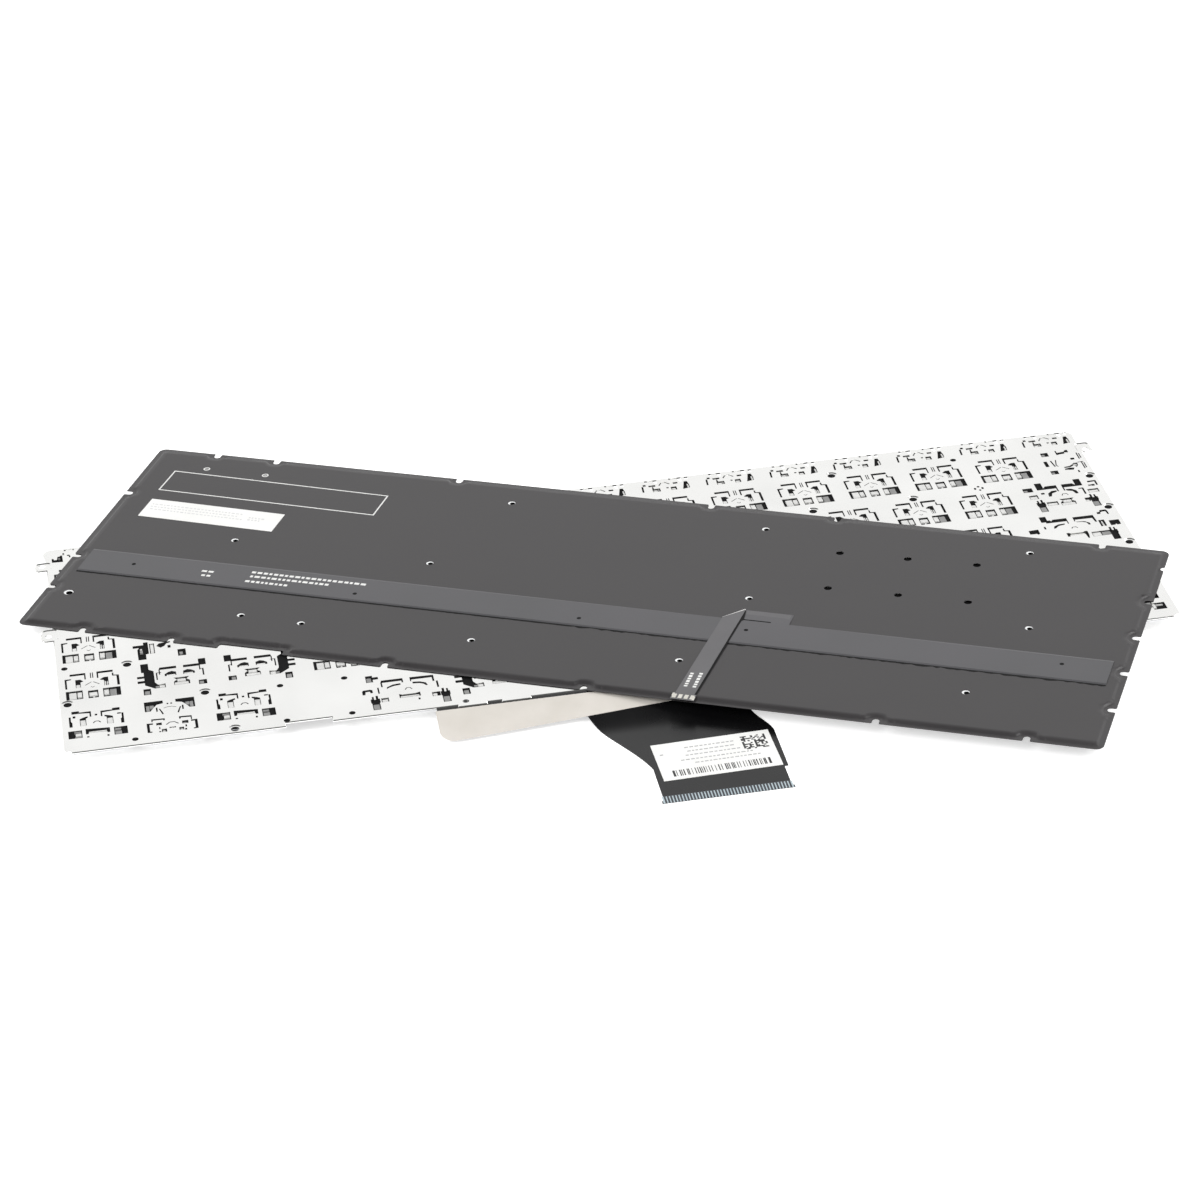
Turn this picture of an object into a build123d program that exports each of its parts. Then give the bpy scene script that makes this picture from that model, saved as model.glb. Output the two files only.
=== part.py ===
from build123d import *
import os
from collections import namedtuple
from math import cos, pi, radians, sin, tan

# The keyboard lies on its key tops with its back plate up. The origin is under the middle of
# the plate, in the plane of the key tops. +X runs from the arrow keys to the tab key, +Y from
# the space bar to the function keys, +Z up through the plate. All sizes are in millimetres.

# Key grid
key_pitch = 18.7            # letter keys, side by side
row_pitch = 18.9            # rows of keys, one behind the other
key_gap = 3.0               # between two caps
narrow_cell = 15.4          # narrow key that starts the number row
backspace_cell = 30.9       # wide key that ends the number row
corner_modifier_cell = 29.5  # control key
modifier_cell = 21.1        # alt and system keys
blank_cell = 21.3           # place with no key beside the arrow keys
function_cell = 10.0        # depth of the function row
function_keys = 16          # keys in the function row
arrow_gap = 1.4             # between the two half-height arrow caps
wide_key_from = 20.5        # cell width from which a key has stabiliser hooks
wire_key_from = 28.0        # cell width from which it has a stabiliser wire
twin_key_from = 43.0        # cell width from which it has two scissor mounts
twin_mount_inset = 13.1     # those mounts from the ends of the cell

# Caps
cap_height = 1.3
cap_draft = 15.0            # slope of a cap's sides, in degrees
key_travel = 1.4
travel_clearance = 0.15     # left between a pressed cap and the film

# Switch membrane and back plate
film_thickness = 0.1
film_inset = 2.4            # film edge inside the plate edge
plate_thickness = 0.4
plate_side_margin = 1.0     # plate beyond the outer caps at both ends
plate_far_margin = 1.1      # plate beyond the function row's caps
plate_near_margin = 4.3     # plate beyond the space row's caps
plate_corner = 1.4          # cut of the plate's corners
edge_recess_width = 11.8    # step in the near edge beside the blank place
edge_recess_depth = 1.9

# Ears and holes of the plate
ear_hole_radius = 0.9
ear_wall = 1.0              # metal round an ear's hole
ear_reach = 1.2             # hole centre beyond the plate's edge
left_ear_inset = 8.3        # far ear at the arrow-key end, from the far edge
right_ear_inset = 11.4      # ear at the other end, from the far edge
near_ear_drop = 38.6        # second ear at the arrow-key end, from the first towards the near edge
lug_width = 7.6             # two lugs of the near edge that hold the tail down
lug_reach = 0.9
lug_x = -41.3               # first lug
lug_pitch = 11.2
boss_hole_radius = 0.95     # holes between the keys
boss_hole_sides = 6
edge_hole_inset = 2.1       # hole beside the arrow keys, from the near edge
edge_hole_x = 43.4          # the same hole, from the end of the key rows

# Cut-outs that the scissor mount of each key leaves in the plate
mount_inset = 0.85          # cut-outs inside the cap's outline at both sides
mount_margin = 1.3          # cut-outs inside the cap's outline, far and near
slot_width = 1.0            # slots on the far side that free the hooks
slot_start = 1.5            # slots from the key's centre line
slot_end = 5.7
side_slot_length = 3.6      # slots at both sides of a half-height key
window_depth = 4.2          # window on the near side
centre_window_width = 5.5   # window of a wide key
hook_window_width = 1.7     # stabiliser hooks of a wide key
hook_window_depth = 6.0
hook_web = 0.9              # metal between a scissor mount and a hook window

# Scissor levers, domes and stabiliser wires
lever_width = 2.2
lever_thickness = 0.5
lever_inset = 1.2           # lever ends inside the mount's cut-outs
lever_clearance = 0.05      # lever ends from cap and film
dome_base = 3.6             # side of a dome's wide end
dome_tip = 1.9              # side of its end at the cap
wire_size = 0.6             # square section
wire_leg = 1.2              # bent ends of a wire
wire_inset = 0.8            # wire from the cap's ends and its near edge
wire_clearance = 0.15       # groove round a wire

# Tail of the rear circuit film
tail_fall = 17.0            # length over which it drops from the film to the table
tail_fall_start = 1.0       # flat run beyond the plate's edge
tail_fall_steps = 8
wide_tail_left = -51.0      # part that carries the release paper
wide_tail_right = 27.0
wide_tail_edge = 12.8       # its free edge beyond the plate, at the left end
wide_tail_rise = 5.0        # the edge comes nearer to the plate by this, at the right end
cable_left = -1.6           # sides of the narrow end
cable_right = 30.2
cable_bulge = 1.0           # right side beyond that, down to the stiffened end
cable_stiff_end = 10.0
tail_corner = 3.0           # cut corner of the wide part
cable_shoulder = -13.5      # where the cable's left side leaves the wide part
cable_neck = 36.0           # where the cable reaches its final width, from the plate's edge
cable_length = 52.0         # end of the tail, from the plate's edge
liner_thickness = 0.1
liner_margin = 0.4          # paper inside the film's edges
liner_start = 1.2           # paper's edge beyond the plate
liner_right = 12.0
label_width = 30.0
label_depth = 17.0
label_shift = 0.5           # label beside the middle of the contacts
label_turn = 1.5            # label stuck on slightly turned, in degrees
label_thickness = 0.08
label_setback = 10.2        # label from the end of the tail
contact_count = 40
contact_length = 3.3
contact_thickness = 0.04
contact_share = 0.6         # part of the contact pitch that is metal

# Backlight sheet, laid slantwise across the plate
sheet_x = -1.2
sheet_y = -3.0
sheet_angle = -26.1
sheet_length = 288.8
sheet_depth = 101.8
sheet_corner = 1.6          # cut of the sheet's corners
mask_thickness = 0.1
guide_thickness = 0.4
cover_thickness = 0.1
sheet_border = 3.2          # pressed border round the light guide
guide_clearance = 0.2       # light guide inside the cover's raised middle
notch_width = 1.8
notch_depth = 2.2
far_notches = (-0.878, -0.754, -0.377, 0.127, 0.373, 0.875)   # places along half the length
near_notches = (-0.873, -0.70, -0.29, 0.08, 0.605, 0.868)
left_notches = (0.47, -0.25, -0.59)                           # places along half the depth
right_notches = (0.45, 0.08, -0.275, -0.63)
side_recess_length = 18.0   # long recess in the near edge
side_recess_depth = 2.0
side_recess_x = -78.8

# Lamps, their strip and its tail, in the sheet's own frame
strip_end_margin = 4.5      # strip's ends inside the sheet's ends
strip_near_inset = 29.8     # strip from the sheet's near edge
strip_depth = 12.0
strip_thickness = 0.1
strip_tape_lap = 0.6        # tape beyond the strip
tape_thickness = 0.08
led_count = 8
led_length = 3.0
led_depth = 1.4
led_thickness = 0.35
led_slot_clearance = 0.3
tab_x = 48.6                # tab that the flex tail leaves from
tab_length = 12.9
tab_depth = 5.2
tab_slit_length = 8.0       # slit between the tab and the strip
tab_slit_width = 0.4
flex_width = 5.0
flex_fold = 0.3             # width of the fold
flex_lean = 1.9             # sideways run of the tail down to its end
flex_overhang = 0.3         # end of the tail past the sheet's edge
flex_end_depth = 2.9        # wider end that carries the pads
flex_ear = 0.6
pad_count = 4
pad_thickness = 0.04
pad_share = 0.65
sticker_length = 39.8
sticker_depth = 10.0
sticker_end_inset = 9.1     # sticker from the sheet's left end
sticker_far_inset = 30.1    # sticker from the sheet's far edge
sticker_turn = -1.4         # sticker stuck on slightly turned, in degrees
sticker_thickness = 0.06

# Places that follow from the sizes above
board_span = narrow_cell + 13 * key_pitch + backspace_cell
plate_width = board_span - key_gap + 2 * plate_side_margin
plate_depth = 5 * row_pitch + function_cell - key_gap + plate_near_margin + plate_far_margin
near_edge = -plate_depth / 2
far_edge = plate_depth / 2
key_field = near_edge + plate_near_margin - key_gap / 2
film_z = cap_height + key_travel + travel_clearance
plate_z = film_z + 3 * film_thickness
sheet_z = plate_z + plate_thickness
guide_z = sheet_z + mask_thickness
cover_z = guide_z + guide_thickness
strip_z = cover_z + cover_thickness
tape_z = strip_z + strip_thickness
flex_z = tape_z + tape_thickness
strip_length = sheet_length - 2 * strip_end_margin
strip_y = -sheet_depth / 2 + strip_near_inset + strip_depth / 2
sticker_x = -sheet_length / 2 + sticker_end_inset + sticker_length / 2
sticker_y = sheet_depth / 2 - sticker_far_inset - sticker_depth / 2

Key = namedtuple("Key", "name x y width depth")


def key_row(y, depth, cells):
    """Keys of one row, laid from the +X end. Each cell is a name and a width; no name, no key."""
    keys = []
    edge = board_span / 2
    for name, width in cells:
        if name:
            keys.append(Key(name, edge - width / 2, y, width, depth))
        edge -= width
    return keys


def row_y(number):
    """Middle of a full row, counted from the space row."""
    return key_field + (number + 0.5) * row_pitch


def plain_cells(names):
    """Cells of ordinary square keys."""
    return [(name, key_pitch) for name in names.split()]


def function_row():
    cells = [(f"f{i}", board_span / function_keys) for i in range(function_keys)]
    return key_row(key_field + 5 * row_pitch + function_cell / 2, function_cell, cells)


def number_row():
    cells = [("grave", narrow_cell)]
    cells += plain_cells("one two three four five six seven eight nine zero minus equals")
    cells += [("backspace", backspace_cell), ("home", key_pitch)]
    return key_row(row_y(4), row_pitch, cells)


def upper_letter_row():
    cells = [("tab", narrow_cell + 0.5 * key_pitch)]
    cells += plain_cells("q w e r t y u i o p bracket_open bracket_close")
    cells += [("backslash", backspace_cell - 0.5 * key_pitch), ("page_up", key_pitch)]
    return key_row(row_y(3), row_pitch, cells)


def middle_letter_row():
    cells = [("caps_lock_key", narrow_cell + 0.75 * key_pitch)]
    cells += plain_cells("key_a key_s key_d key_f key_g key_h key_j key_k key_l")
    cells += plain_cells("key_semicolon key_quote")
    cells += [("enter_key", backspace_cell + 0.25 * key_pitch), ("page_down_key", key_pitch)]
    return key_row(row_y(2), row_pitch, cells)


def lower_letter_row():
    cells = [("left_shift_key", narrow_cell + 1.25 * key_pitch)]
    cells += plain_cells("key_z key_x key_c key_v key_b key_n key_m key_comma key_period key_slash")
    cells += [("right_shift_key", backspace_cell + 0.75 * key_pitch), ("end_key", key_pitch)]
    return key_row(row_y(1), row_pitch, cells)


def space_row():
    """Bottom row. The space bar fills what the other keys leave, and up and down share a cell."""
    right_side = [("control_key", corner_modifier_cell), ("function_key", key_pitch),
                  ("system_key", modifier_cell), ("left_alt_key", modifier_cell)]
    left_side = [("right_alt_key", modifier_cell), ("", blank_cell), ("left_arrow_key", key_pitch),
                 ("", key_pitch), ("right_arrow_key", key_pitch)]
    space = board_span - sum(width for name, width in right_side + left_side)
    keys = key_row(row_y(0), row_pitch, right_side + [("space_bar", space)] + left_side)
    stack_x = -board_span / 2 + 1.5 * key_pitch
    half = (row_pitch - key_gap - arrow_gap) / 2 + key_gap
    shift = (row_pitch - half) / 2
    keys.append(Key("up_arrow_key", stack_x, row_y(0) + shift, key_pitch, half))
    keys.append(Key("down_arrow_key", stack_x, row_y(0) - shift, key_pitch, half))
    return keys


def is_wide(key):
    """Wide keys have stabiliser hooks beside their scissor mount."""
    return key.width > wide_key_from


def has_wire(key):
    return key.width > wire_key_from


def scissor_spots(key):
    """Centres of a key's scissor mounts: one, or two near the ends of a long key."""
    if key.width < twin_key_from:
        return [key.x]
    reach = key.width / 2 - twin_mount_inset
    return [key.x - reach, key.x + reach]


def mount_size(key):
    """Width and depth of the cut-outs of one scissor mount."""
    width = min(key.width, key_pitch) - key_gap - 2 * mount_inset
    return width, key.depth - key_gap - 2 * mount_margin


def is_half(key):
    """Function keys and the up and down keys, whose caps are half as deep as the others."""
    return key.depth < row_pitch


def box(x, y, z, width, depth, height):
    """Block with its low face at z and its middle at x, y."""
    return Pos(x, y, z) * Box(width, depth, height, align=(Align.CENTER, Align.CENTER, Align.MIN))


def prism(points, z, height):
    """Upright prism on a closed outline of x, y points."""
    outline = make_face(Polyline(*[(x, y, z) for x, y in points], close=True))
    return extrude(outline, height, dir=(0, 0, 1))


def wire_place(key):
    """Middle and length of the stabiliser wire under a wide key, near the cap's near edge."""
    y = key.y - (key.depth - key_gap) / 2 + wire_inset + wire_leg / 2
    return y, key.width - key_gap - 2 * wire_inset


def cap(key):
    """Cap with sloping sides, its top on the table. A wide cap has a groove for its wire."""
    width = key.width - key_gap
    depth = key.depth - key_gap
    slope = 2 * cap_height * tan(radians(cap_draft))
    top = Pos(key.x, key.y, 0) * Rectangle(width - slope, depth - slope)
    base = Pos(key.x, key.y, cap_height) * Rectangle(width, depth)
    body = loft([top, base], ruled=True)
    if has_wire(key):
        y, length = wire_place(key)
        groove = wire_size + wire_clearance - travel_clearance
        body -= box(key.x, y, cap_height - groove, length + 2 * wire_clearance,
                    wire_leg + 2 * wire_clearance, groove)
    return body


def dome():
    """Rubber dome between the film and a cap, wide end on the film."""
    height = film_z - cap_height
    low = (dome_base - dome_tip) / 2
    high = low + dome_tip
    frustum = Wedge(dome_base, height, dome_base, low, low, high, high,
                    align=(Align.CENTER, Align.MIN, Align.CENTER))
    return Pos(0, 0, film_z) * Rot(-90, 0, 0) * frustum


def lever(x, key, rise):
    """One lever of a scissor: a bar that rises from cap to film, towards +Y or -Y."""
    width, depth = mount_size(key)
    low = cap_height + lever_clearance
    high = film_z - lever_clearance
    left = x - lever_width / 2
    near = key.y - rise * (depth / 2 - lever_inset)
    far = key.y + rise * (depth / 2 - lever_inset)
    side = Polyline((left, near, low), (left, near, low + lever_thickness), (left, far, high),
                    (left, far, high - lever_thickness), close=True)
    return extrude(make_face(side), lever_width, dir=(1, 0, 0))


def scissor(x, key):
    """Two levers that cross, one on each side of the dome. A half-height key has one lever."""
    width, depth = mount_size(key)
    reach = (width - lever_width) / 2
    bars = [lever(x - reach, key, 1)]
    if not is_half(key):
        bars.append(lever(x + reach, key, -1))
    return bars


def stabiliser(key):
    """Steel wire bent to a flat U, held against the film over the cap's groove."""
    y, length = wire_place(key)
    z = film_z - wire_size
    near = y - wire_leg / 2
    far = y + wire_leg / 2
    left = key.x - length / 2
    right = key.x + length / 2
    outline = [(left, near), (right, near), (right, far), (right - wire_size, far),
               (right - wire_size, near + wire_size), (left + wire_size, near + wire_size),
               (left + wire_size, far), (left, far)]
    return prism(outline, z, wire_size)


def loop(points):
    """Closed wire through x, y points in the plane of the plate's lower face."""
    return Wire.make_polygon([Vector(x, y, plate_z) for x, y in points], close=True)


def rectangle_loop(x, low, high, width):
    left = x - width / 2
    right = x + width / 2
    return loop([(left, low), (right, low), (right, high), (left, high)])


def mount_cuts(x, key):
    """Cut-outs of one scissor mount: two slots on its far side and a window on its near side.
    A half-height key has a slot at each side instead."""
    width, depth = mount_size(key)
    bottom = key.y - depth / 2
    top = key.y + depth / 2
    if is_half(key):
        reach = (width - slot_width) / 2
        low = key.y - side_slot_length / 2
        return [rectangle_loop(x + side * reach, low, low + side_slot_length, slot_width)
                for side in (-1, 1)]
    span = centre_window_width if is_wide(key) else width
    middle = (slot_start + slot_end) / 2
    cuts = [rectangle_loop(x + side * middle, top - slot_width, top, slot_end - slot_start)
            for side in (-1, 1)]
    return cuts + [rectangle_loop(x, bottom, bottom + window_depth, span)]


def hook_cuts(key):
    """Windows of the stabiliser hooks, outside the first and last scissor mount of a wide key."""
    width, depth = mount_size(key)
    reach = width / 2 + hook_web + hook_window_width / 2
    spots = scissor_spots(key)
    low = key.y - depth / 2 - mount_margin
    return [rectangle_loop(x, low, low + hook_window_depth, hook_window_width)
            for x in (min(spots) - reach, max(spots) + reach)]


def ear_spots():
    """Hole centres of the two ears at the arrow-key end and the one at the other end."""
    reach = plate_width / 2 + ear_reach
    far = far_edge - left_ear_inset
    return [(-reach, far), (-reach, far - near_ear_drop), (reach, far_edge - right_ear_inset)]


def boss_loop(x, y):
    """Hole between the keys, few-sided."""
    turns = [2 * pi * i / boss_hole_sides for i in range(boss_hole_sides)]
    return loop([(x + boss_hole_radius * cos(turn), y + boss_hole_radius * sin(turn)) for turn in turns])


def boss_spots():
    """Holes in the gaps between the keys, at corners of their cells."""
    left = -board_span / 2
    first = board_span / 2 - narrow_cell
    return [(first - 3 * key_pitch, row_y(4.5)), (first - 2 * key_pitch, row_y(3.5)),
            (first - 3.5 * key_pitch, row_y(3.5)), (left + key_pitch, row_y(1.5)),
            (left + 2 * key_pitch, row_y(0.5)), (left + edge_hole_x, near_edge + edge_hole_inset)]


def plate_outline():
    """Plate with cut corners, ears at both ends, and two lugs and a step in the near edge."""
    outline = chamfer(Rectangle(plate_width, plate_depth).vertices(), plate_corner)
    side = 2 * (ear_hole_radius + ear_wall)
    for x, y in ear_spots():
        outline += Pos(x, y) * Rectangle(side, side)
    for x in (lug_x, lug_x + lug_pitch):
        outline += Pos(x, near_edge) * Rectangle(lug_width, 2 * lug_reach)
    recess_x = -board_span / 2 + 3 * key_pitch + edge_recess_width / 2
    outline -= Pos(recess_x, near_edge) * Rectangle(edge_recess_width, 2 * edge_recess_depth)
    return Pos(0, 0, plate_z) * outline


def base_plate(keys):
    """Sheet-metal plate, punched with the cut-outs of every key."""
    cuts = []
    for key in keys:
        for x in scissor_spots(key):
            cuts += mount_cuts(x, key)
        if is_wide(key):
            cuts += hook_cuts(key)
    cuts += [Wire.make_circle(ear_hole_radius, Plane((x, y, plate_z))) for x, y in ear_spots()]
    cuts += [boss_loop(x, y) for x, y in boss_spots()]
    sheet = Face(plate_outline().face().outer_wire(), cuts)
    return extrude(sheet, plate_thickness, dir=(0, 0, 1))


def film(z):
    """Layer of the switch membrane, inside the plate's edges."""
    return box(0, 0, z, plate_width - 2 * film_inset, plate_depth - 2 * film_inset, film_thickness)


def tail_height(y, rest):
    """Height of the tail's lower face: level, then a half cosine wave down to the table."""
    start = near_edge - tail_fall_start
    share = min(max((start - y) / tail_fall, 0), 1)
    return rest * (1 + cos(pi * share)) / 2


def tail_layer(outline, lift, thickness, end):
    """Bent layer of the tail: the falling profile across the board, cut to an outline."""
    start = near_edge - tail_fall_start
    rest = film_z + 2 * film_thickness
    stops = [near_edge + film_inset]
    stops += [start - tail_fall * i / tail_fall_steps for i in range(tail_fall_steps + 1)]
    stops.append(end)
    under = [(0, y, tail_height(y, rest) + lift) for y in stops]
    over = [(0, y, z + thickness) for x, y, z in reversed(under)]
    side = make_face(Polyline(*under, *over, close=True))
    bent = extrude(side, plate_width / 2, dir=(1, 0, 0), both=True)
    return bent & prism(outline, 0, 2 * plate_z)


def wide_tail_y(x):
    """Free edge of the tail's wide part, which runs at a slant to the plate."""
    share = (x - wide_tail_left) / (liner_right - wide_tail_left)
    return near_edge - wide_tail_edge + wide_tail_rise * share


def tail_end():
    return near_edge - cable_length


def rear_circuit_film():
    """Film against the plate, with the tail that drops to the table and ends in the contacts."""
    root = near_edge + film_inset
    neck = near_edge - cable_neck
    waist = near_edge - (cable_neck + wide_tail_edge) / 2
    bend = (cable_shoulder + cable_left) / 2
    stiff = tail_end() + cable_stiff_end
    bulge = cable_right + cable_bulge
    outline = [(wide_tail_left, root), (wide_tail_left, wide_tail_y(wide_tail_left) + tail_corner),
               (wide_tail_left + tail_corner, wide_tail_y(wide_tail_left + tail_corner)),
               (cable_shoulder, wide_tail_y(cable_shoulder)), (bend, waist), (cable_left, neck),
               (cable_left, tail_end()), (cable_right, tail_end()), (cable_right, stiff), (bulge, stiff),
               (bulge, waist), (wide_tail_right, near_edge - wide_tail_edge), (wide_tail_right, root)]
    return film(film_z + 2 * film_thickness) + tail_layer(outline, 0, film_thickness, tail_end())


def adhesive_liner():
    """Release paper on the wide part of the tail."""
    top = near_edge - liner_start
    left = wide_tail_left + liner_margin
    corner = left + tail_corner
    outline = [(left, top), (left, wide_tail_y(left) + liner_margin + tail_corner),
               (corner, wide_tail_y(corner) + liner_margin),
               (liner_right, wide_tail_y(liner_right) + liner_margin), (liner_right, top)]
    return tail_layer(outline, film_thickness, liner_thickness, tail_end())


def tail_label():
    x = (cable_left + cable_right) / 2 + label_shift
    y = tail_end() + label_setback + label_depth / 2
    label = box(0, 0, film_thickness, label_width, label_depth, label_thickness)
    return Pos(x, y, 0) * Rot(0, 0, label_turn) * label


def tail_contacts():
    """Row of printed fingers across the end of the tail."""
    pitch = (cable_right - cable_left) / contact_count
    y = tail_end() + contact_length / 2
    return [box(cable_left + (i + 0.5) * pitch, y, film_thickness, contact_share * pitch, contact_length,
                contact_thickness) for i in range(contact_count)]


def on_sheet(shape):
    """Turns a shape from the sheet's own frame to its place on the plate."""
    return Pos(sheet_x, sheet_y, 0) * Rot(0, 0, sheet_angle) * shape


def notch_spots():
    """Middle of each notch in the sheet's edge, and whether it cuts along X or along Y."""
    half = sheet_length / 2
    depth = sheet_depth / 2
    far = [(share * half, depth, False) for share in far_notches]
    near = [(share * half, -depth, False) for share in near_notches]
    left = [(-half, share * depth, True) for share in left_notches]
    right = [(half, share * depth, True) for share in right_notches]
    return far + near + left + right


def sheet_outline(z):
    """Outline of the backlight sheet with its notches and the long recess in the near edge."""
    outline = chamfer(Rectangle(sheet_length, sheet_depth).vertices(), sheet_corner)
    for x, y, sideways in notch_spots():
        size = (2 * notch_depth, notch_width) if sideways else (notch_width, 2 * notch_depth)
        outline -= Pos(x, y) * Rectangle(*size)
    outline -= Pos(side_recess_x, -sheet_depth / 2) * Rectangle(side_recess_length, 2 * side_recess_depth)
    return Pos(0, 0, z) * outline


def led_slot(z, height):
    """Slot along the middle of the strip that the lamps reach into."""
    length = strip_length - 2 * strip_tape_lap - led_length
    return box(0, strip_y, z, length, led_depth + 2 * led_slot_clearance, height)


def light_mask_film():
    """Film on the side of the keys, clear of the cover's notches."""
    inset = 2 * (notch_depth + guide_clearance)
    return on_sheet(box(0, 0, sheet_z, sheet_length - inset, sheet_depth - inset, mask_thickness))


def light_guide():
    """Clear plate inside the sheet, with the slot for the lamps."""
    inset = 2 * (sheet_border + guide_clearance + cover_thickness)
    plate = box(0, 0, guide_z, sheet_length - inset, sheet_depth - inset, guide_thickness)
    return on_sheet(plate - led_slot(guide_z, guide_thickness))


def back_cover_film():
    """Black film drawn over the light guide: raised middle, and a flat border on the mask."""
    border = extrude(sheet_outline(guide_z), cover_thickness, dir=(0, 0, 1))
    length = sheet_length - 2 * sheet_border
    depth = sheet_depth - 2 * sheet_border
    rise = guide_thickness + cover_thickness
    wall = 2 * cover_thickness
    raised = border + box(0, 0, guide_z, length, depth, rise)
    raised -= box(0, 0, guide_z, length - wall, depth - wall, guide_thickness)
    return on_sheet(raised - led_slot(cover_z, cover_thickness))


def leds():
    """Row of lamps that hang from the strip into the light guide's slot."""
    pitch = (strip_length - 2 * strip_tape_lap - 2 * led_length) / led_count
    z = strip_z - led_thickness
    start = -pitch * (led_count - 1) / 2
    return [on_sheet(box(start + i * pitch, strip_y, z, led_length, led_depth, led_thickness))
            for i in range(led_count)]


def tab_corner():
    """Left end of the tab and its far edge, where the flex tail folds."""
    return tab_x - tab_length / 2, strip_y + strip_depth / 2 + tab_depth


def flex_tail_outline():
    """Tail from its slanting fold down to the wider end past the sheet's near edge."""
    left, top = tab_corner()
    end = -sheet_depth / 2 - flex_overhang
    neck = end + flex_end_depth
    low_left = left - flex_width - flex_lean
    return [(left, top), (left - flex_lean, neck), (left - flex_lean + flex_ear, neck),
            (left - flex_lean + flex_ear, end), (low_left - flex_ear, end), (low_left - flex_ear, neck),
            (low_left, neck), (left - flex_width, top - flex_width)]


def led_flex_strip():
    """Circuit of the lamps: strip, tab, arm, slanting fold, and the tail that lies over the tape."""
    left, top = tab_corner()
    strip = box(0, strip_y, strip_z, strip_length - 2 * strip_tape_lap, strip_depth - 2 * strip_tape_lap,
                strip_thickness)
    low = strip_y + strip_depth / 2 - 2 * strip_tape_lap
    tab = prism([(left + strip_tape_lap, low), (left + tab_length - strip_tape_lap, low),
                 (left + tab_length - strip_tape_lap, top), (left, top),
                 (left - flex_width, top - flex_width), (left + strip_tape_lap, top - flex_width)],
                strip_z, strip_thickness)
    fold = prism([(left, top), (left - flex_width, top - flex_width),
                  (left - flex_width + flex_fold, top - flex_width), (left, top - flex_fold)],
                 strip_z, flex_z + strip_thickness - strip_z)
    tail = prism(flex_tail_outline(), flex_z, strip_thickness)
    return on_sheet(strip + tab + fold + tail)


def strip_cover_tape():
    """Tape over the strip and its tab, with the slit that frees the tab's left part."""
    left, top = tab_corner()
    tape = box(0, strip_y, tape_z, strip_length, strip_depth, tape_thickness)
    low = strip_y + strip_depth / 2
    slit = low + tab_slit_width
    tab = prism([(left + tab_slit_length, low), (left + tab_length, low), (left + tab_length, top),
                 (left + flex_fold, top), (left + flex_fold, slit), (left + tab_slit_length, slit)],
                tape_z, tape_thickness)
    return on_sheet(tape + tab)


def flex_contacts():
    """Pads across the wider end of the flex tail."""
    left, top = tab_corner()
    end = -sheet_depth / 2 - flex_overhang
    span = flex_width + 2 * flex_ear
    pitch = span / pad_count
    start = left - flex_lean + flex_ear - span
    return [on_sheet(box(start + (i + 0.5) * pitch, end + flex_end_depth / 2, flex_z + strip_thickness,
                         pad_share * pitch, pad_share * flex_end_depth, pad_thickness))
            for i in range(pad_count)]


def sheet_sticker():
    sticker = box(0, 0, strip_z, sticker_length, sticker_depth, sticker_thickness)
    return on_sheet(Pos(sticker_x, sticker_y, 0) * Rot(0, 0, sticker_turn) * sticker)


def save(node, shape):
    """Writes one piece, or a group of like solids, to its own file."""
    if isinstance(shape, list):
        shape = Compound([solid for piece in shape for solid in piece.solids()])
    export_step(shape, f"parts/{node}.step")


os.makedirs("parts", exist_ok=True)
fixed_rows = {"function_row_caps": function_row(), "number_row_caps": number_row(),
              "upper_letter_row_caps": upper_letter_row()}
pressed_keys = middle_letter_row() + lower_letter_row() + space_row()
all_keys = [key for row in fixed_rows.values() for key in row] + pressed_keys

for row_name, row in fixed_rows.items():
    save(row_name, [cap(key) for key in row])
for key in pressed_keys:
    save(key.name, cap(key))
spring = dome()
save("rubber_domes", [Pos(x, key.y, 0) * spring for key in all_keys for x in scissor_spots(key)])
save("scissor_links", [bar for key in all_keys for x in scissor_spots(key) for bar in scissor(x, key)])
save("stabiliser_wires", [stabiliser(key) for key in all_keys if has_wire(key)])
save("front_circuit_film", film(film_z))
save("spacer_film", film(film_z + film_thickness))
save("rear_circuit_film", rear_circuit_film())
save("base_plate", base_plate(all_keys))
save("adhesive_liner", adhesive_liner())
save("tail_label", tail_label())
save("tail_contacts", tail_contacts())
save("light_mask_film", light_mask_film())
save("light_guide", light_guide())
save("back_cover_film", back_cover_film())
save("leds", leds())
save("led_flex_strip", led_flex_strip())
save("strip_cover_tape", strip_cover_tape())
save("flex_contacts", flex_contacts())
save("sheet_sticker", sheet_sticker())
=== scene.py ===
import bpy
import numpy as np
from mathutils import Matrix, Vector
from mathutils.geometry import delaunay_2d_cdt


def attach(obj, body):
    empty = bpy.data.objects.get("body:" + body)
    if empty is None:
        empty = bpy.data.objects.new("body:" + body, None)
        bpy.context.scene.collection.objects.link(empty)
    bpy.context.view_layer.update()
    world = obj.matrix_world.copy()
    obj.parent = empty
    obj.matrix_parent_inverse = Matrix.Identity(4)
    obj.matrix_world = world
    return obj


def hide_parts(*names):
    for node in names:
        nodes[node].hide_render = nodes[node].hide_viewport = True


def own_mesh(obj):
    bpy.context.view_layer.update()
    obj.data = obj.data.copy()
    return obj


# The keyboard lies on its key tops, back plate up, with its backlight sheet slantwise across it.
# The frame is the CAD's: +X to the tab key, +Y to the function keys, +Z up. Sizes are in mm here
# and become metres where a mesh is made.
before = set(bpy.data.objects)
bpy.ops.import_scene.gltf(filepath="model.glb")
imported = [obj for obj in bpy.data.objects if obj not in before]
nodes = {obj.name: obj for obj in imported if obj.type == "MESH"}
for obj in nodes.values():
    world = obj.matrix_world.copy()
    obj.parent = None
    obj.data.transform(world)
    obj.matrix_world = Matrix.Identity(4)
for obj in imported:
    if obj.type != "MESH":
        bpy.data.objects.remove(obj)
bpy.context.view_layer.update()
BASE = "keyboard_base"


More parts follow.
